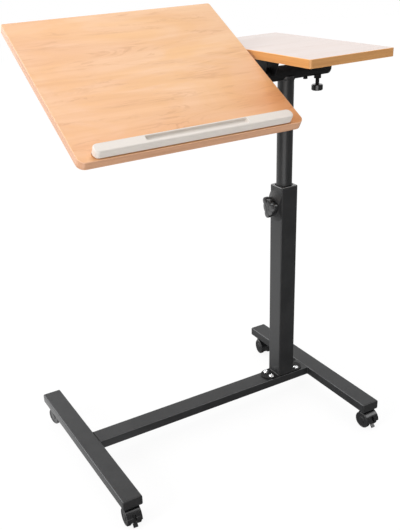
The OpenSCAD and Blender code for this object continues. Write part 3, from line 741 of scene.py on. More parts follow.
def piece(name: str, shape: Solid | Mesh, finish: Finish, node: str, bevel: float = 0.0) -> None:
    """Finishes a piece: rounds its sharp edges, dresses it and sets it on its body.

    Args:
        name: The piece's name.
        shape: Its solid or mesh, in the row's frame.
        finish: Its finish.
        node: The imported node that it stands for.
        bevel: The width of the rounding on its sharp edges, in metres, or 0.
    """
    item = new_object(name, shape.mesh() if isinstance(shape, Solid) else shape)
    if bevel:
        assign(item.modifiers.new("rounding", "BEVEL"), width=bevel, segments=3,
               limit_method="ANGLE", angle_limit=SHARP, miter_outer="MITER_ARC")
        item.data = baked(item)
    item.data.shade_smooth()
    item.data.set_sharp_from_angle(angle=SMOOTH)
    item.modifiers.new("flat faces stay flat", "WEIGHTED_NORMAL").keep_sharp = True
    item.data = baked(item)
    mark_arrises(item.data)
    item.data.name = name
    dress(item.data, finish)
    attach(item, BODY_OF[node])
    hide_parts(node)


def copied(name: str, finish: Finish, node: str, bevel: float = 0.0) -> None:
    """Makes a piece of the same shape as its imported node."""
    piece(name, Solid().packed(node), finish, node, bevel)


def kept(finish: Finish, *nodes: str) -> None:
    """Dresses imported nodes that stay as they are."""
    for node in nodes:
        dress(frame["nodes"][node].data, finish)
        log.info("%s: kept", node)


class Pattern(Tree):
    """A Geometry Nodes tree that sets copies of something out along a rule."""

    def __init__(self, name: str, inputs: dict[str, str],
                 rule: Callable[["Pattern", Any], Socket]) -> None:
        """Makes the tree, which ends in Realize Instances and Set Material.

        Args:
            name: The tree's name.
            inputs: Each named input's kind of value.
            rule: Adds the nodes between the tree's inputs and the instances' socket.
        """
        super().__init__(bpy.data.node_groups.new(name, "GeometryNodeTree"))

        def socket(key: str, kind: str, way: str = "INPUT") -> str:
            """Adds a socket to the tree's face and gives its identifier."""
            return self.tree.interface.new_socket(
                key, in_out=way, socket_type=f"NodeSocket{kind}").identifier

        socket("Mesh", "Geometry")
        self.known = [socket(key, kind) for key, kind in {**inputs, "Finish": "Material"}.items()]
        socket("Mesh", "Geometry", "OUTPUT")
        source = self.node("NodeGroupInput").outputs
        real = self.out("GeometryNodeRealizeInstances", {0: rule(self, source)})
        self.node("NodeGroupOutput", {0: self.out("GeometryNodeSetMaterial", {
            "Geometry": real, "Material": source["Finish"]})})

    def run(self, finish: Finish, *values: Any, base: Optional[Mesh] = None) -> Mesh:
        """Runs the tree.

        Args:
            finish: The finish of the copies.
            values: The value of each named input, in the inputs' order.
            base: The mesh that the tree works from, if it needs one.

        Returns:
            The result as a plain mesh.
        """
        item = new_object("pattern base", base or bpy.data.meshes.new("base"))
        modifier = assign(item.modifiers.new("pattern", "NODES"), node_group=self.tree)
        for key, value in zip(self.known, (*values, finish.build())):
            modifier[key] = value
        mesh = baked(item)
        bpy.data.objects.remove(item)
        return mesh


def ripple_rule(tree: Pattern, source: Any) -> Socket:
    """Sets weld ripples along the path that the mesh's edges make."""
    path = tree.out("GeometryNodeMeshToCurve", {"Mesh": source["Mesh"]})
    ripple = tree.out("GeometryNodeMeshUVSphere", {
        "Segments": 12, "Rings": 8, "Radius": source["Radius"]})
    return tree.out("GeometryNodeInstanceOnPoints", {
        "Points": tree.out("GeometryNodeResampleCurve", {
            "Curve": path, "Length": source["Spacing"]}, mode="LENGTH"),
        "Instance": tree.out("GeometryNodeSetShadeSmooth", {0: ripple}),
        "Scale": tree.out("FunctionNodeRandomValue", {2: 0.9, 3: 1.06, "Seed": 7}, 1,
                          data_type="FLOAT")})


def screw_rule(tree: Pattern, source: Any) -> Socket:
    """Sets four copies of a template at the corners of a rectangle."""
    return tree.out("GeometryNodeInstanceOnPoints", {
        "Points": tree.out("GeometryNodeMeshGrid", {
            "Size X": source["Spacing X"], "Size Y": source["Spacing Y"],
            "Vertices X": 2, "Vertices Y": 2}),
        "Instance": tree.out("GeometryNodeObjectInfo", {"Object": source["Template"]},
                             "Geometry")})


def rib_rule(tree: Pattern, source: Any) -> Socket:
    """Sets ribs round the Z axis, each turned to face outwards."""
    share = tree.out("ShaderNodeMath", {
        0: tree.out("GeometryNodeInputIndex"), 1: source["Count"]}, operation="DIVIDE")
    angle = tree.out("ShaderNodeMath", {0: share, 1: math.tau}, operation="MULTIPLY")
    placed = tree.out("GeometryNodeInstanceOnPoints", {
        "Points": tree.out("GeometryNodeMeshCircle", {
            "Vertices": source["Count"], "Radius": source["Radius"]}),
        "Instance": tree.out("GeometryNodeMeshCube", {"Size": source["Rib"]}),
        "Rotation": tree.out("ShaderNodeCombineXYZ", {"Z": angle})})
    return tree.out("GeometryNodeTranslateInstances", {
        "Instances": placed,
        "Translation": tree.out("ShaderNodeCombineXYZ", {"Z": source["Lift"]})})


RIPPLES = Pattern("weld ripples", {"Spacing": "Float", "Radius": "Float"}, ripple_rule)
SCREWS = Pattern("screw rectangle", {
    "Template": "Object", "Spacing X": "Float", "Spacing Y": "Float"}, screw_rule)
RIBS = Pattern("rib ring", {
    "Count": "Int", "Radius": "Float", "Rib": "Vector", "Lift": "Float"}, rib_rule)


def weld_beads(name: str, node: str, radius: float, paths: Sequence[Sequence[Spot]],
               closed: bool = False) -> None:
    """Lays weld ripples along paths of points and makes them a piece.

    Args:
        name: The piece's name.
        node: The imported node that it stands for.
        radius: The radius of one ripple.
        paths: The points of each path.
        closed: True if each path's last point joins its first.
    """
    points, edges = [], []
    for path in paths:
        start = len(points)
        points += [tuple(p) for p in path]
        edges += [(i, i + 1) for i in range(start, len(points) - 1)]
        if closed:
            edges.append((len(points) - 1, start))
    base = bpy.data.meshes.new("path")
    base.from_pydata(points, edges, [])
    piece(name, RIPPLES.run(FINISH.weld, radius * 0.55, radius, base=base), FINISH.weld, node)


def four_of(template: Solid, finish: Finish, across: float, along: float, lie: Matrix) -> Mesh:
    """Sets four copies of a template at the corners of a rectangle, and moves them."""
    shape = bpy.data.objects.new("template", template.mesh())
    mesh = SCREWS.run(finish, shape, across, along)
    bpy.data.objects.remove(shape)
    mesh.transform(lie)
    return mesh


def at(spot: Spot, turn: float = 0.0, axis: str = "Z") -> Matrix:
    """Gives the matrix that turns a piece about an axis and sets it at a spot."""
    return Matrix.Translation(Vector(spot)) @ Matrix.Rotation(turn, 4, axis)


def along_x(joint: str, x: float, outward: int = 1) -> Matrix:
    """Lays a piece's Z along X, outward 1 or -1, in line with a joint and from x on."""
    spot = joint_spot(joint)
    return at((x, spot.y, spot.z), outward * QUARTER, "Y")


@dataclass
class BaseFrame:
    """The two feet and the crossbar of 40 x 20 tube, with caps and welds."""

    wall: float = 0.0015
    corner: float = 0.003
    cap: float = 0.003
    cap_ease: float = 0.0014
    back_ease: float = 0.0003
    plug: float = 0.008
    shy: float = 0.0003
    play: float = 0.0002
    bead: float = 0.002

    def rail(self, node: str, axis: int) -> None:
        """Builds one straight tube in its packed box, along X (0) or Y (1)."""
        low, high, middle = packed_box(node)
        size = high - low
        half = size[axis] / 2
        solid = Solid().tube(Outline(size[1 - axis], size.z, self.corner), self.wall, -half, half)
        lie = at(middle, 0.0 if axis else QUARTER) @ Matrix.Rotation(QUARTER, 4, "X")
        piece(f"{node}_rail", solid.moved(lie), FINISH.coat, node)

    def caps(self) -> None:
        """Builds the four end caps, each with a rounded face and its plug."""
        low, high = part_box("left_foot_tube")
        wide, tall = high.x - low.x, high.z - low.z
        face = Outline(wide - self.shy, tall - self.shy, self.corner - self.shy / 2)
        lost = 2 * self.wall + self.play
        plug = Outline(wide - lost, tall - lost, self.corner - self.wall)
        solid = Solid()
        for node in ("left_foot_tube", "right_foot_tube"):
            low, high, middle = packed_box(node)
            for end, y in ((-1, low.y), (1, high.y)):
                cap = Solid().loft([plug.loop(0, -self.plug), plug.loop(0, 0.0),
                                    *rounded_edge(face, 0.0, self.back_ease, False, 2),
                                    *rounded_edge(face, self.cap, self.cap_ease, True, 5)])
                cap.moved(at((middle.x, y, middle.z), -end * QUARTER, "X"))
                solid.bm.from_mesh(cap.mesh())
        piece("foot_end_covers", solid, FINISH.satin, "foot_end_caps")

    def build(self) -> None:
        """Builds the tubes, the caps and the ripples down the crossbar's four corners."""
        for node, axis in (("left_foot_tube", 1), ("right_foot_tube", 1), ("crossbar_tube", 0)):
            self.rail(node, axis)
        self.caps()
        low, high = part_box("crossbar_tube")
        weld_beads("foot_weld_ripples", "frame_welds", self.bead, [
            [(x, y, low.z + self.corner), (x, y, high.z - self.corner)]
            for x in (low.x, high.x) for y in (low.y, high.y)])


@dataclass
class PostFoot:
    """The plate under the post, its bolts and nuts, and the weld round the post."""

    bolt_x: float = 0.068
    bolt_y: float = 0.021
    shank: float = 0.003
    head: float = 0.0062
    head_h: float = 0.0033
    socket: float = 0.004
    nut: float = 0.010
    nut_h: float = 0.005
    play: float = 0.00002
    bead: float = 0.00192
    corner: float = 0.0025
    bolt_sides: int = 48
    nut_sides: int = 72
    dome_ease: float = 0.0009
    socket_ease: float = 0.0004
    socket_depth: float = 0.0017
    socket_tip: float = 0.0022
    bolt_point: float = 0.001
    plate_eases: tuple[float, float] = (0.0003, 0.0007)

    def plate(self) -> None:
        """Builds the plate with its two round ends."""
        low, high, middle = packed_box("post_base_plate")
        size = high - low
        outline = Outline(size.x, size.y, size.y / 2, 16, middle.x, middle.y)
        # The plate wears the darker coat, which stands in for the shade round it.
        piece("post_plate", Solid().block(outline, low.z, high.z, self.plate_eases),
              FINISH.shade, "post_base_plate")

    def bolt(self, low: float, seat: float) -> Solid:
        """Builds a dome-head bolt with a hexagon socket, from its tip up."""
        mouth = seat + self.head_h
        dome = [(self.head, 0.0), (self.head, 0.0006), (self.head * 0.9, self.head_h * 0.55),
                (self.head * 0.68, self.head_h * 0.86), (self.socket * 0.72, self.head_h)]
        return Solid().loft(rings(self.bolt_sides, [
            (self.shank * 0.7, low), (self.shank, low + self.bolt_point), (self.shank, seat),
            *[(r, seat + h) for r, h in eased(dome, self.dome_ease)],
            (hexagon(self.socket + self.socket_ease), mouth),
            (hexagon(self.socket), mouth - 0.0003),
            (hexagon(self.socket), mouth - self.socket_depth),
            (self.socket * 0.1, mouth - self.socket_tip)]))

    def hex_nut(self, low: float) -> Solid:
        """Builds a hexagon nut whose corners are chamfered at both faces."""
        count, shape, high = self.nut_sides, hexagon(self.nut), low + self.nut_h

        def drop(angle: float) -> float:
            """Gives how far a corner is cut down at one angle."""
            return max(0.0, shape(angle) - self.nut * 0.515) * 0.55

        def face(angle: float) -> float:
            """Gives the radius of a face, whose corners are cut off."""
            return min(shape(angle), self.nut * 0.485)

        bore = self.shank + self.play
        return Solid().loft([
            radial(count, face, low), radial(count, shape, low, lambda a: -drop(a)),
            radial(count, shape, high, drop), radial(count, face, high),
            radial(count, bore, high), radial(count, bore, low)], ring=True)

    def build(self) -> None:
        """Builds the plate, bolts, nuts and weld."""
        self.plate()
        low, _, middle = packed_box("base_plate_bolts")
        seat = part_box("post_base_plate")[1].z
        for name, template, finish in (
                ("bolts", self.bolt(low.z, seat), FINISH.chrome),
                ("nuts", self.hex_nut(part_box("base_plate_nuts")[0].z), FINISH.zinc)):
            mesh = four_of(template, finish, self.bolt_x, self.bolt_y, at((*middle.xy, 0)))
            piece(f"plate_{name}", mesh, finish, f"base_plate_{name}")
        low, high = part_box("lower_post_tube")
        ends = (low.y + self.corner, high.y - self.corner)
        weld_beads("post_weld_ripples", "post_weld", self.bead, [
            [(x, y, low.z + 0.0004) for y in ends] for x in (low.x, high.x)])


@dataclass
class LowerPost:
    """The square post with the guide bush in its top and the clamp's housing."""

    wall: float = 0.0015
    corner: float = 0.0025
    play: float = 0.0002
    bore: float = 0.01605
    dish: float = 0.0186
    dish_depth: float = 0.0035
    rim_ease: float = 0.0017
    housing: float = 0.009
    housing_foot: float = 0.032
    housing_end: float = 0.021
    housing_bore: float = 0.0045
    housing_ease: float = 0.0012
    housing_sides: int = 96
    hollow: float = 0.0012

    def tube(self) -> None:
        """Builds the square tube with its open top."""
        low, high, middle = packed_box("lower_post_tube")
        width = high.x - low.x
        outline = Outline(width, width, self.corner, 6, middle.x, middle.y)
        piece("lower_post", Solid().tube(outline, self.wall, low.z, high.z), FINISH.coat,
              "lower_post_tube")

    def bush(self) -> None:
        """Builds the bush: a square rim with a round dish that falls to the bore."""
        low, high, middle = packed_box("guide_bush")
        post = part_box("lower_post_tube")[1].z
        x, y, width, steps = middle.x, middle.y, high.x - low.x, 12
        within = width - 2 * self.wall - self.play
        rim = Outline(width, width, self.corner, steps, x, y)
        plug = Outline(within, within, self.corner - self.wall, steps, x, y)
        floor = high.z - self.dish_depth
        loops = [plug.loop(0, low.z), plug.loop(0, post), rim.loop(self.play, post),
                 *rounded_edge(rim, high.z, self.rim_ease, True, 6)]
        loops += [disc(radius, steps, x, y).loop(0, z) for radius, z in (
            (self.dish, high.z), (self.dish - 0.0004, high.z - 0.0006),
            (self.dish - 0.0005, floor + 0.0005), (self.bore + 0.0006, floor),
            (self.bore, floor - 0.0006), (self.bore, low.z))]
        piece("post_bush", Solid().loft(loops, ring=True), FINISH.moulded, "guide_bush")

    def clamp_housing(self) -> None:
        """Builds the housing that flares from behind the knob to the post's face."""
        low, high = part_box("lower_post_tube")
        half = (high.y - low.y) / 2
        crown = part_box("guide_bush")[1].z - joint_spot("height_clamp_turn").z
        end, ease = self.housing_end, self.housing_ease

        def clipped(radius: float) -> ByAngle:
            """Cuts a circle off at the post's sides and at the top of the bush."""
            return lambda angle: min(radius, half / max(abs(math.sin(angle)), NONZERO),
                                     crown / max(math.cos(angle), NONZERO))

        rows = []
        for share in (i / 12 for i in range(13)):
            radius = self.housing_foot + (end - self.housing_foot) * share
            radius -= self.hollow * math.sin(share * math.pi)
            rows.append((clipped(radius), (self.housing - ease) * share))
        rows += [(clipped(end - ease * out), self.housing - ease * up)
                 for out, up in quarter(4)[1:]]
        rows += [(clipped(self.housing_bore), z) for z in (self.housing, 0.0)]
        solid = Solid().loft(rings(self.housing_sides, rows), ring=True)
        piece("knob_housing", solid.moved(along_x("height_clamp_turn", low.x, -1)), FINISH.dull,
              "clamp_housing")

    def build(self) -> None:
        """Builds the post, its bush and the housing."""
        self.tube()
        self.bush()
        self.clamp_housing()
        kept(FINISH.zinc, "clamp_weld_nut", "height_clamp_stud")
        kept(FINISH.satin, "slide_guide")


@dataclass
class HeightKnob:
    """The lobed knob that clamps the upper post."""

    outer: float = 0.024
    lobe: float = 0.008
    lobes: int = 3
    turn: float = math.radians(45)
    hub_over: float = 0.001
    blend: float = 0.0022
    thick: float = 0.0085
    neck: float = 0.012
    neck_l: float = 0.002
    bore: float = 0.0042
    crown: float = 0.0016
    ease: float = 0.0016
    back_ease: float = 0.0012
    cap: float = 0.006
    cap_rim: tuple[float, float, float] = (0.96, 0.86, 0.8)
    seam: float = 0.0005
    sides: int = 120
    crown_rows: int = 10

    def shape(self, inset: float) -> ByAngle:
        """Gives the knob's radius by angle, drawn in by an inset."""
        reach = self.outer - self.lobe
        hub = reach + self.hub_over
        pitch = math.tau / self.lobes

        def radius(angle: float) -> float:
            """Blends the lobe nearest to the angle with the round middle."""
            off = (angle - self.turn + pitch / 2) % pitch - pitch / 2
            span = self.lobe ** 2 - (reach * math.sin(off)) ** 2
            bump = reach * math.cos(off) + math.sqrt(span) if span > 0 else 0.0
            extra = max(0.0, self.blend - abs(hub - bump)) ** 2 / (4 * self.blend)
            return max(hub, bump) + extra - inset
        return radius

    def build(self) -> None:
        """Builds the knob with rounded lobes, a crowned face and a round middle cap."""
        back, front = self.neck_l, self.neck_l + self.thick
        span, peak = self.outer - self.lobe - self.cap, front + self.crown
        rows = [(self.bore, 0.0), (self.neck, 0.0), (self.neck, back)]
        rows += [(self.shape(self.back_ease * up), back + self.back_ease * out)
                 for out, up in quarter(5)]
        rows += [(self.shape(self.ease * out), front - self.ease * up) for out, up in quarter(5)]
        rows += [(self.shape(self.ease + span * share), front + self.crown * (1 - (1 - share) ** 2))
                 for share in ((i + 1) / self.crown_rows for i in range(self.crown_rows))]
        outer, inner, edge = (self.cap * share for share in self.cap_rim)
        rows += [(outer, peak - self.seam), (inner, peak - self.seam), (edge, peak), (TINY, peak)]
        lie = along_x("height_clamp_turn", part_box("height_clamp_knob")[1].x, -1)
        piece("height_knob", Solid().loft(rings(self.sides, rows)).moved(lie), FINISH.gloss,
              "height_clamp_knob")


@dataclass
class Caster:
    """One twin-wheel caster, named by where it stands."""

    name: str
    wheel: float = 0.018
    wheel_w: float = 0.009
    web: float = 0.010
    gap: float = 0.001
    bore: float = 0.00255
    sunk: float = 0.0003
    ease: float = 0.0006
    ribs: int = 54
    rib: tuple[float, float, float] = (0.0008, 0.0007, 0.0062)

    def roller(self, letter: str, side: int) -> None:
        """Builds one wheel: ribbed tread, rim, dished disc and hub cap."""
        node = f"{self.name}_wheel_{letter}"
        r, w, b = self.wheel, self.wheel_w, self.bore
        tread = r - self.sunk
        profile = [(b, 0.0), (r * 0.32, 0.0), (r * 0.36, 0.0012), (r * 0.78, 0.0012),
                   (r * 0.82, 0.0), (tread - 0.0008, 0.0), (tread, 0.001), (tread, w - 0.0016),
                   (tread - 0.0016, w), (r * 0.83, w), (r * 0.79, w - 0.0011),
                   (r * 0.4, w - 0.0016), (r * 0.36, w - 0.0003), (r * 0.3, w), (TINY, w)]
        inner = [(TINY, w - 0.0008), (b, w - 0.0008)]
        turned = Solid().turned(eased(profile, self.ease) + inner, ring=True).mesh()
        ribs = RIBS.run(FINISH.tread, self.ribs, r - self.rib[0] / 2, self.rib, w / 2 - self.sunk)
        axis = JOINTS[f"{self.name}_wheel_a_roll"]["axis"]
        facing = Matrix.Rotation(math.atan2(axis[1], axis[0]), 4, "Z")
        spot = joint_spot(f"{node}_roll") + facing @ Vector((side, 0, 0)) * (self.web / 2 + self.gap)
        lie = Matrix.Translation(spot) @ facing @ Matrix.Rotation(side * QUARTER, 4, "Y")
        piece(f"{node}_roller", joined(lie, turned, ribs), FINISH.tread, node)

    def build(self) -> None:
        """Builds the hood, both wheels and the brake lever, where there is one."""
        copied(f"{self.name}_hood", FINISH.gloss, f"{self.name}_body", bevel=FINE_BEVEL)
        self.roller("a", -1)
        self.roller("b", 1)
        if f"{self.name}_brake" in frame["nodes"]:
            copied(f"{self.name}_lever", FINISH.gloss, f"{self.name}_brake", bevel=self.ease)
        kept(FINISH.zinc, f"{self.name}_axle")


@dataclass
class TiltHead:
    """The sleeve across the top of the upper post, the tilt tube in it and their screws."""

    upper: float = 0.016
    sleeve: float = 0.014
    sleeve_wall: float = 0.00145
    tube: float = 0.0125
    tube_wall: float = 0.0015
    cap: float = 0.002
    plug: float = 0.006
    play: float = 0.00002
    pitch: float = 0.00125
    thread_depth: float = 0.0005
    stud: float = 0.004
    stud_tip: float = 0.001
    bead: float = 0.00154
    thumb: float = 0.0115
    neck: float = 0.0053
    cap_ease: float = 0.0012
    end_ease: float = 0.0004
    head_ease: float = 0.0007
    ribs: int = 40
    rib: tuple[float, float] = (0.0011, 0.0008)
    weld_rows: int = 48

    def stopper(self, name: str, node: str, side: int, radius: float, wall: float) -> None:
        """Builds the domed cap and plug in a tube's end.

        Args:
            name: The piece's name.
            node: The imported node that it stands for.
            side: 1 at the tube's right end, -1 at its left end.
            radius: The tube's outer radius.
            wall: The tube's wall.
        """
        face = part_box(node)[side > 0].x - side * self.cap
        bore = radius - wall
        domed = [(TINY, -self.plug), (bore - 0.0003, -self.plug), (bore - self.play, -0.0004),
                 (bore - self.play, 0.0), (radius, 0.0), (radius, 0.0005),
                 (radius - 0.0006, self.cap * 0.72), (radius - 0.0022, self.cap),
                 (TINY, self.cap)]
        solid = Solid().turned(eased(domed, self.cap_ease, 4))
        piece(name, solid.moved(along_x("board_tilt", face, side)), FINISH.satin, node)

    def sleeves(self) -> None:
        """Builds the sleeve and both end caps."""
        low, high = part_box("tilt_sleeve")
        r, wall, length = self.sleeve, self.sleeve_wall, high.x - low.x
        edge = eased([(r - wall, 0.0), (r, 0.0), (r, length), (r - wall, length)], self.end_ease)
        solid = Solid().turned(edge, ring=True).moved(along_x("board_tilt", low.x))
        piece("cross_sleeve", solid, FINISH.shade, "tilt_sleeve")
        self.stopper("sleeve_stopper", "sleeve_end_cap", 1, r, wall)
        self.stopper("tilt_tube_stopper", "tilt_tube_cap", -1, self.tube, self.tube_wall)

    def tilt_clamp(self) -> None:
        """Builds the threaded stud, its knurled head and the nut under the sleeve."""
        spot = joint_spot("tilt_clamp_turn")
        place = at((*spot.xy, 0))
        low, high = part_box("tilt_clamp_stud")
        solid = Solid().thread(self.stud, low.z, high.z - self.stud_tip, self.pitch,
                               self.thread_depth)
        solid.turned([(self.stud - 0.0006, high.z - 0.0012), (self.stud - 0.0012, high.z)], 6)
        piece("tilt_stud", solid.moved(place), FINISH.shade, "tilt_clamp_stud")
        low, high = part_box("tilt_clamp_head")
        r = (high.x - low.x) / 2
        bottom, peak = low.z, high.z - 0.0003
        top, blind = bottom + self.thumb, bottom + 0.0016
        bore = self.stud + 0.00005
        outline = [(TINY, bottom + 0.0004), (r * 0.55, bottom + 0.0004), (r * 0.62, bottom),
                   (r - 0.0014, bottom), (r - 0.0004, bottom + 0.001), (r - 0.0004, top - 0.001),
                   (r - 0.0012, top), (self.neck, top), (self.neck, peak), (bore, peak),
                   (bore, blind), (TINY, blind)]
        head = Solid().turned(eased(outline, self.head_ease)).mesh()
        ribs = RIBS.run(FINISH.gloss, self.ribs, r - 0.0006,
                        (*self.rib, top - bottom - 0.0024), (top + bottom) / 2)
        piece("tilt_thumb_head", joined(place, head, ribs), FINISH.gloss, "tilt_clamp_head")
        copied("tilt_nut", FINISH.shade, "tilt_clamp_nut", bevel=FINE_BEVEL)

    def weld(self) -> None:
        """Lays ripples where the round post meets the underside of the sleeve."""
        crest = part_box("sleeve_weld")[1].z
        pivot = joint_spot("board_tilt")
        ring = []
        for angle in (i / self.weld_rows * math.tau for i in range(self.weld_rows)):
            x, y = self.upper * math.cos(angle), self.upper * math.sin(angle)
            across = min(abs(y), self.sleeve * 0.98)
            z = pivot.z - math.sqrt(self.sleeve ** 2 - across ** 2)
            ring.append((pivot.x + x, pivot.y + y * 0.96, min(z, crest)))
        weld_beads("sleeve_weld_ripples", "sleeve_weld", self.bead, [ring], closed=True)

    def build(self) -> None:
        """Builds the head of the post."""
        copied("upper_post", FINISH.coat, "upper_post_tube")
        self.sleeves()
        self.tilt_clamp()
        copied("stop_bolt", FINISH.shade, "stop_screw", bevel=FINE_BEVEL)
        self.weld()
        copied("tilt_rail", FINISH.shade, "tilt_tube")


@dataclass
class BoardSet:
    """One board: its core, edge band, brackets and screws."""

    name: str
    width: float
    corner: float
    tilt: float
    bracket_x: float
    back_corner: float = 0.004
    seat: float = 0.037
    thick: float = 0.015
    depth: float = 0.350
    shift: float = 0.010
    band: float = 0.001
    arris: float = 0.0009
    screw_x: float = 0.030
    screw_y: float = 0.190
    screw_head: float = 0.004
    screw_head_h: float = 0.0022
    screw_shank: float = 0.002
    screw_sides: int = 48
    screw_ease: float = 0.0005
    screw_point: float = 0.003
    slot: tuple[float, float] = (0.0044, 0.0011)
    slot_mouth: tuple[float, float] = (0.0048, 0.0013)
    slot_depth: float = 0.0012
    bite: float = 0.011
    sheet: float = 0.0025

    @property
    def pivot(self) -> Point:
        """The point of the tilt axis under the board's middle."""
        low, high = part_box(f"{self.name}_board_core")
        spot = joint_spot("board_tilt")
        return (low.x + high.x) / 2, spot.y, spot.z

    @property
    def lies(self) -> Matrix:
        """The board's own frame: the tilt axis under its middle, turned by its tilt."""
        return at(self.pivot, self.tilt, "X")

    def woods(self) -> tuple[Finish, Finish]:
        """Gives the finish of the board's faces and of its edge."""
        lie = {"tilt": self.tilt, "about": self.pivot}
        faces = (self.seat, self.seat + self.thick)
        foil, edge = f"beech foil, {self.name} board", f"edge band, {self.name} board"
        if self.name == "main":
            # The main foil gets painted shade towards its front, its front right corner and its left.
            return (Laminate(foil, (0.885, 0.55, 0.315), 0.36, warm=(0.855, 0.48, 0.205),
                             dark=(0.745, 0.375, 0.165), knot=(0.6, 0.27, 0.115), glare=0.12,
                             deep=(0.87, 0.62, 0.42), painted_shade=1.0, seed=1.3, **lie),
                    EdgeBand(edge, (0.76, 0.415, 0.24), 0.4, dark=(0.55, 0.27, 0.145),
                             faces=faces, **lie))
        return (Laminate(foil, (0.77, 0.64, 0.59), 0.34, warm=(0.76, 0.6, 0.53),
                         dark=(0.69, 0.54, 0.47), knot=(0.56, 0.4, 0.33), contrast=0.5,
                         glare=0.5, seed=0.7, **lie),
                EdgeBand(edge, (0.72, 0.355, 0.115), 0.4, dark=(0.54, 0.24, 0.07),
                         faces=faces, **lie))

    def board(self) -> None:
        """Builds the board's core and the band round it, with rounded arrises."""
        foil, edge = self.woods()
        low, high = self.seat, self.seat + self.thick
        outer = Outline(self.width, self.depth, self.corner, 12, 0, -self.shift, self.back_corner)
        copied(f"{self.name}_board_top", foil, f"{self.name}_board_core")
        ring = [*rounded_edge(outer, low, self.arris, False),
                *rounded_edge(outer, high, self.arris, True),
                outer.loop(self.band, high), outer.loop(self.band, low)]
        piece(f"{self.name}_board_band", Solid().loft(ring, ring=True).moved(self.lies), edge,
              f"{self.name}_board_edge")

    def wood_screw(self) -> Solid:
        """Builds a pan-head screw with a cross recess, its head below and its tip up."""
        head, tall, shank = self.screw_head, self.screw_head_h, self.screw_shank
        seat, tip = self.seat - self.sheet, self.seat + self.bite
        crown = seat - tall
        dome = [(0.0026, crown), (head * 0.82, crown + 0.0003), (head, seat - tall * 0.45),
                (head, seat), (shank, seat), (shank, tip - self.screw_point), (TINY, tip)]
        return Solid().loft(rings(self.screw_sides, [
            (TINY, crown + 0.0013), (cross_slot(*self.slot), crown + self.slot_depth),
            (cross_slot(*self.slot_mouth), crown), *eased(dome, self.screw_ease)]))

    def build(self) -> None:
        """Builds the board, its two brackets and their screws."""
        self.board()
        copied(f"{self.name}_bracket_plates", FINISH.shade, f"{self.name}_brackets", bevel=FINE_BEVEL)
        screws = [four_of(self.wood_screw(), FINISH.zinc, self.screw_x, self.screw_y,
                          self.lies @ at((side * self.bracket_x, -self.shift, 0)))
                  for side in (-1, 1)]
        piece(f"{self.name}_bracket_fixings", joined(Matrix(), *screws), FINISH.zinc,
              f"{self.name}_bracket_screws")


@dataclass
class Ledge:
    """The plastic ledge on the main board, with its pen groove."""

    board: BoardSet
    length: float = 0.362
    width: float = 0.020
    height: float = 0.015
    inset: float = 0.002
    corner: float = 0.009
    groove_l: float = 0.186
    groove_w: float = 0.0105
    groove_depth: float = 0.005
    groove_corner: float = 0.002
    groove_ease: float = 0.0016
    lip: float = 0.006
    ease: float = 0.0026
    low_ease: float = 0.0006
    seat: float = 0.001
    foot: float = 0.0028
    lift: float = 0.0019

    def build(self) -> None:
        """Builds the ledge and its screws."""
        top = self.board.seat + self.board.thick
        front = -self.board.depth / 2 - self.board.shift + self.inset
        low, high = top + self.lift, top + self.height
        outer = Outline(self.length, self.width, self.corner, 10, 0, front + self.width / 2)
        groove = Outline(self.groove_l, self.groove_w, self.groove_corner, 10, 0,
                         front + self.lip + self.groove_w / 2)
        floor = rounded_edge(groove, high - self.groove_depth, self.groove_ease, False)
        solid = Solid().loft([
            outer.loop(self.foot, top - self.seat), outer.loop(self.foot, low),
            *rounded_edge(outer, low, self.low_ease, False, 3),
            *rounded_edge(outer, high, self.ease, True, 6), groove.loop(-0.0006, high),
            groove.loop(-0.0002, high - 0.0001), groove.loop(0.0, high - 0.0005), *floor[::-1]])
        piece("pen_ledge", solid.moved(self.board.lies), FINISH.cream, "ledge")
        copied("ledge_fixings", FINISH.zinc, "ledge_screws", bevel=0.0004)


@dataclass(frozen=True)
class Card:
    """A soft bright patch that only mirror images show.

    Its middle's azimuth and elevation and its half-width are in degrees.
    """

    azimuth: float
    elevation: float
    half: float
    bright: float
    core: float = 0.35

    def shine(self, shader: Shader, way: Socket) -> Signal:
        """Gives how bright the card is in each direction."""
        azimuth, elevation = math.radians(self.azimuth), math.radians(self.elevation)
        middle = (math.cos(azimuth) * math.cos(elevation),
                  math.sin(azimuth) * math.cos(elevation), math.sin(elevation))
        near = Signal(shader, shader.vector("DOT_PRODUCT", way, middle, key="Value"))
        rim, core = (math.cos(math.radians(self.half * share)) for share in (1, self.core))
        return near.step(rim, core) * self.bright


@dataclass(frozen=True)
class Lamp:
    """A square soft lamp that points at a spot."""

    name: str
    spot: Point
    size: float
    power: float
    aim: Point = (0.0, 0.0, 0.45)

    def hang(self) -> None:
        """Hangs the lamp."""
        data = assign(bpy.data.lights.new(self.name, "AREA"), shape="SQUARE", size=self.size,
                      energy=self.power)
        way = Vector(self.aim) - Vector(self.spot)
        assign(new_object(self.name, data), location=self.spot, rotation_mode="QUATERNION",
               rotation_quaternion=way.to_track_quat("-Z", "Y"))


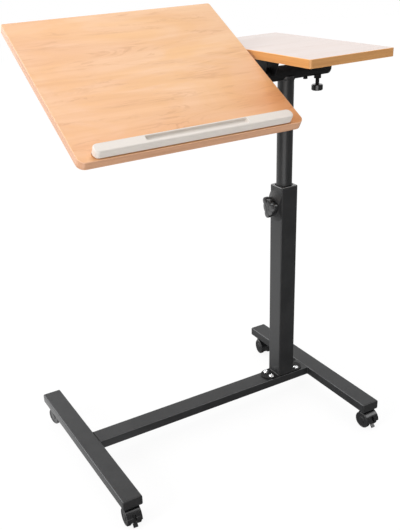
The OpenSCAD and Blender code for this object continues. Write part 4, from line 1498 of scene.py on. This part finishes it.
@dataclass
class Studio:
    """The floor, the lights, the world and the camera of the photograph."""

    lens: float = 50.245
    sensor: float = 36.0
    eye: Point = (-0.888411, -1.184009, 0.975841)
    ahead: Point = (0.410724, 0.802178, -0.433379)
    right: Point = (0.877284, -0.477167, -0.051806)
    shift: tuple[float, float] = (0.0609, 0.0552)
    floor_half: float = 6.0
    floor_colour: Colour = (0.86, 0.86, 0.86)
    floor_glow: float = 0.86
    white: float = 1.045
    ambient: float = 0.68
    sky_lean: Colour = (-0.1, 0.42, 0.42)
    dark_card: float = 0.2
    cards: tuple[Card, ...] = (Card(58, 0, 60, 0.7), Card(229, 0, 40, 0.9), Card(60, 82, 37, 2.2),
                               Card(322, 44, 18, 3.4), Card(125, 32, 30, 3.4),
                               Card(95, 8, 24, 2.2), Card(10, 6, 26, 1.6))
    floor_cards: tuple[Card, ...] = (Card(104, 0, 70, 0.74),)
    floor_near: tuple[Card, float, float] = (Card(160, 0, 62, 0.66), 1.1, 0.7)
    floor_far: tuple[Card, float, float] = (Card(234, 0, 33, 2.8), 0.5, 0.7)
    lamps: tuple[Lamp, ...] = (Lamp("key lamp", (-6.4, -0.7, 3.2), 2.6, 218.0),
                               Lamp("top lamp", (0.25, 0.3, 2.5), 1.6, 6.0))

    def camera(self) -> None:
        """Stands the camera where the photograph was taken from, seen from the post's axis."""
        item = new_object("camera", assign(
            bpy.data.cameras.new("camera"), lens=self.lens, sensor_width=self.sensor,
            shift_x=self.shift[0], shift_y=self.shift[1]))
        ahead, right = Vector(self.ahead).normalized(), Vector(self.right).normalized()
        turned = Matrix((right, right.cross(ahead), -ahead)).transposed().to_4x4()
        post = joint_spot("post_swivel")
        item.matrix_world = at(Vector((post.x, post.y, 0)) + Vector(self.eye)) @ turned
        bpy.context.scene.camera = item

    def floor(self) -> None:
        """Lays the pale floor, which the camera sees as nearly white."""
        bm = bmesh.new()
        bmesh.ops.create_grid(bm, x_segments=1, y_segments=1, size=self.floor_half)
        item = new_object("floor", written(bm, "floor"))
        shader = Surface("pale floor")
        shader.set({"Base Color": self.floor_colour, "Roughness": 0.9, "Specular IOR Level": 0.0})
        path = shader.node("ShaderNodeLightPath").outputs
        place = shader.coordinates["Object"]
        around = shader.vector("NORMALIZE", place)
        away = Signal(shader, shader.vector("LENGTH", place, key="Value"))
        level = self.mirrored(shader, self.floor_cards, around)
        for card, *fade in (self.floor_near, self.floor_far):
            level = level + card.shine(shader, around) * away.step(*fade)
        mirror = shader.blend(path["Is Glossy Ray"], shader.surface,
                              shader.node("ShaderNodeEmission", {"Strength": level}))
        seen = Signal(shader, path["Is Camera Ray"]) * self.floor_glow
        glow = shader.node("ShaderNodeEmission", {"Strength": self.white})
        shader.feed(shader.output.inputs["Surface"], shader.blend(seen, mirror, glow).outputs[0])
        item.data.materials.append(shader.material)

    def mirrored(self, shader: Shader, cards: Sequence[Card], way: Socket) -> Signal:
        """Gives how bright mirror images are in each direction round the table.

        Args:
            shader: The node tree that takes the nodes.
            cards: The bright patches.
            way: The direction's socket.

        Returns:
            The brightness, dark where no card hangs.
        """
        base = assign(shader.out("ShaderNodeValue"), default_value=self.dark_card)
        return sum((card.shine(shader, way) for card in cards), Signal(shader, base))

    def world(self) -> None:
        """Lights the scene softly, and shows white to the camera and the cards to mirrors."""
        world = bpy.context.scene.world = assign(bpy.data.worlds.new("studio"), use_nodes=True)
        shader = Shader(world.node_tree)
        path = shader.node("ShaderNodeLightPath").outputs

        def light(strength: Any) -> Node:
            """Adds a white background of the given strength."""
            return shader.node("ShaderNodeBackground", {
                "Color": (1, 1, 1, 1), "Strength": strength})

        way = shader.coordinates["Generated"]
        lean = Signal(shader, shader.vector("DOT_PRODUCT", way, self.sky_lean, key="Value"))
        mirror = shader.blend(path["Is Glossy Ray"], light((lean + 1.0) * self.ambient),
                              light(self.mirrored(shader, self.cards, way)))
        seen = shader.out("ShaderNodeMath", {
            0: path["Is Camera Ray"], 1: path["Is Transmission Ray"]}, operation="MAXIMUM")
        shader.node("ShaderNodeOutputWorld", {
            "Surface": shader.blend(seen, mirror, light(1.0)).outputs[0]})

    def build(self) -> None:
        """Builds the camera, the floor and the lights."""
        self.camera()
        self.floor()
        self.world()
        for lamp in self.lamps:
            lamp.hang()
        bpy.context.scene.view_settings.view_transform = "Standard"


def main() -> None:
    """Builds the table piece by piece and the studio round it."""
    logging.basicConfig(level=logging.INFO, format="%(message)s")
    tilt = math.acos(next(m for m in RECORD["mounts"] if m["name"] == "main_board_top")["axis"][2])
    main_board = BoardSet("main", width=0.412, corner=0.013, tilt=tilt, bracket_x=0.136)
    side_board = BoardSet("side", width=0.185, corner=0.005, tilt=0.0, bracket_x=0.0555)
    casters = [Caster(name) for name in ("near_left", "near_right", "rear_left", "rear_right")]
    for part in (BaseFrame(), PostFoot(), LowerPost(), HeightKnob(), *casters):
        part.build()
    kept(FINISH.zinc, "caster_stems", "caster_inserts")
    for part in (TiltHead(), main_board, side_board, Ledge(main_board), Studio()):
        part.build()


if __name__ == "__main__":
    main()
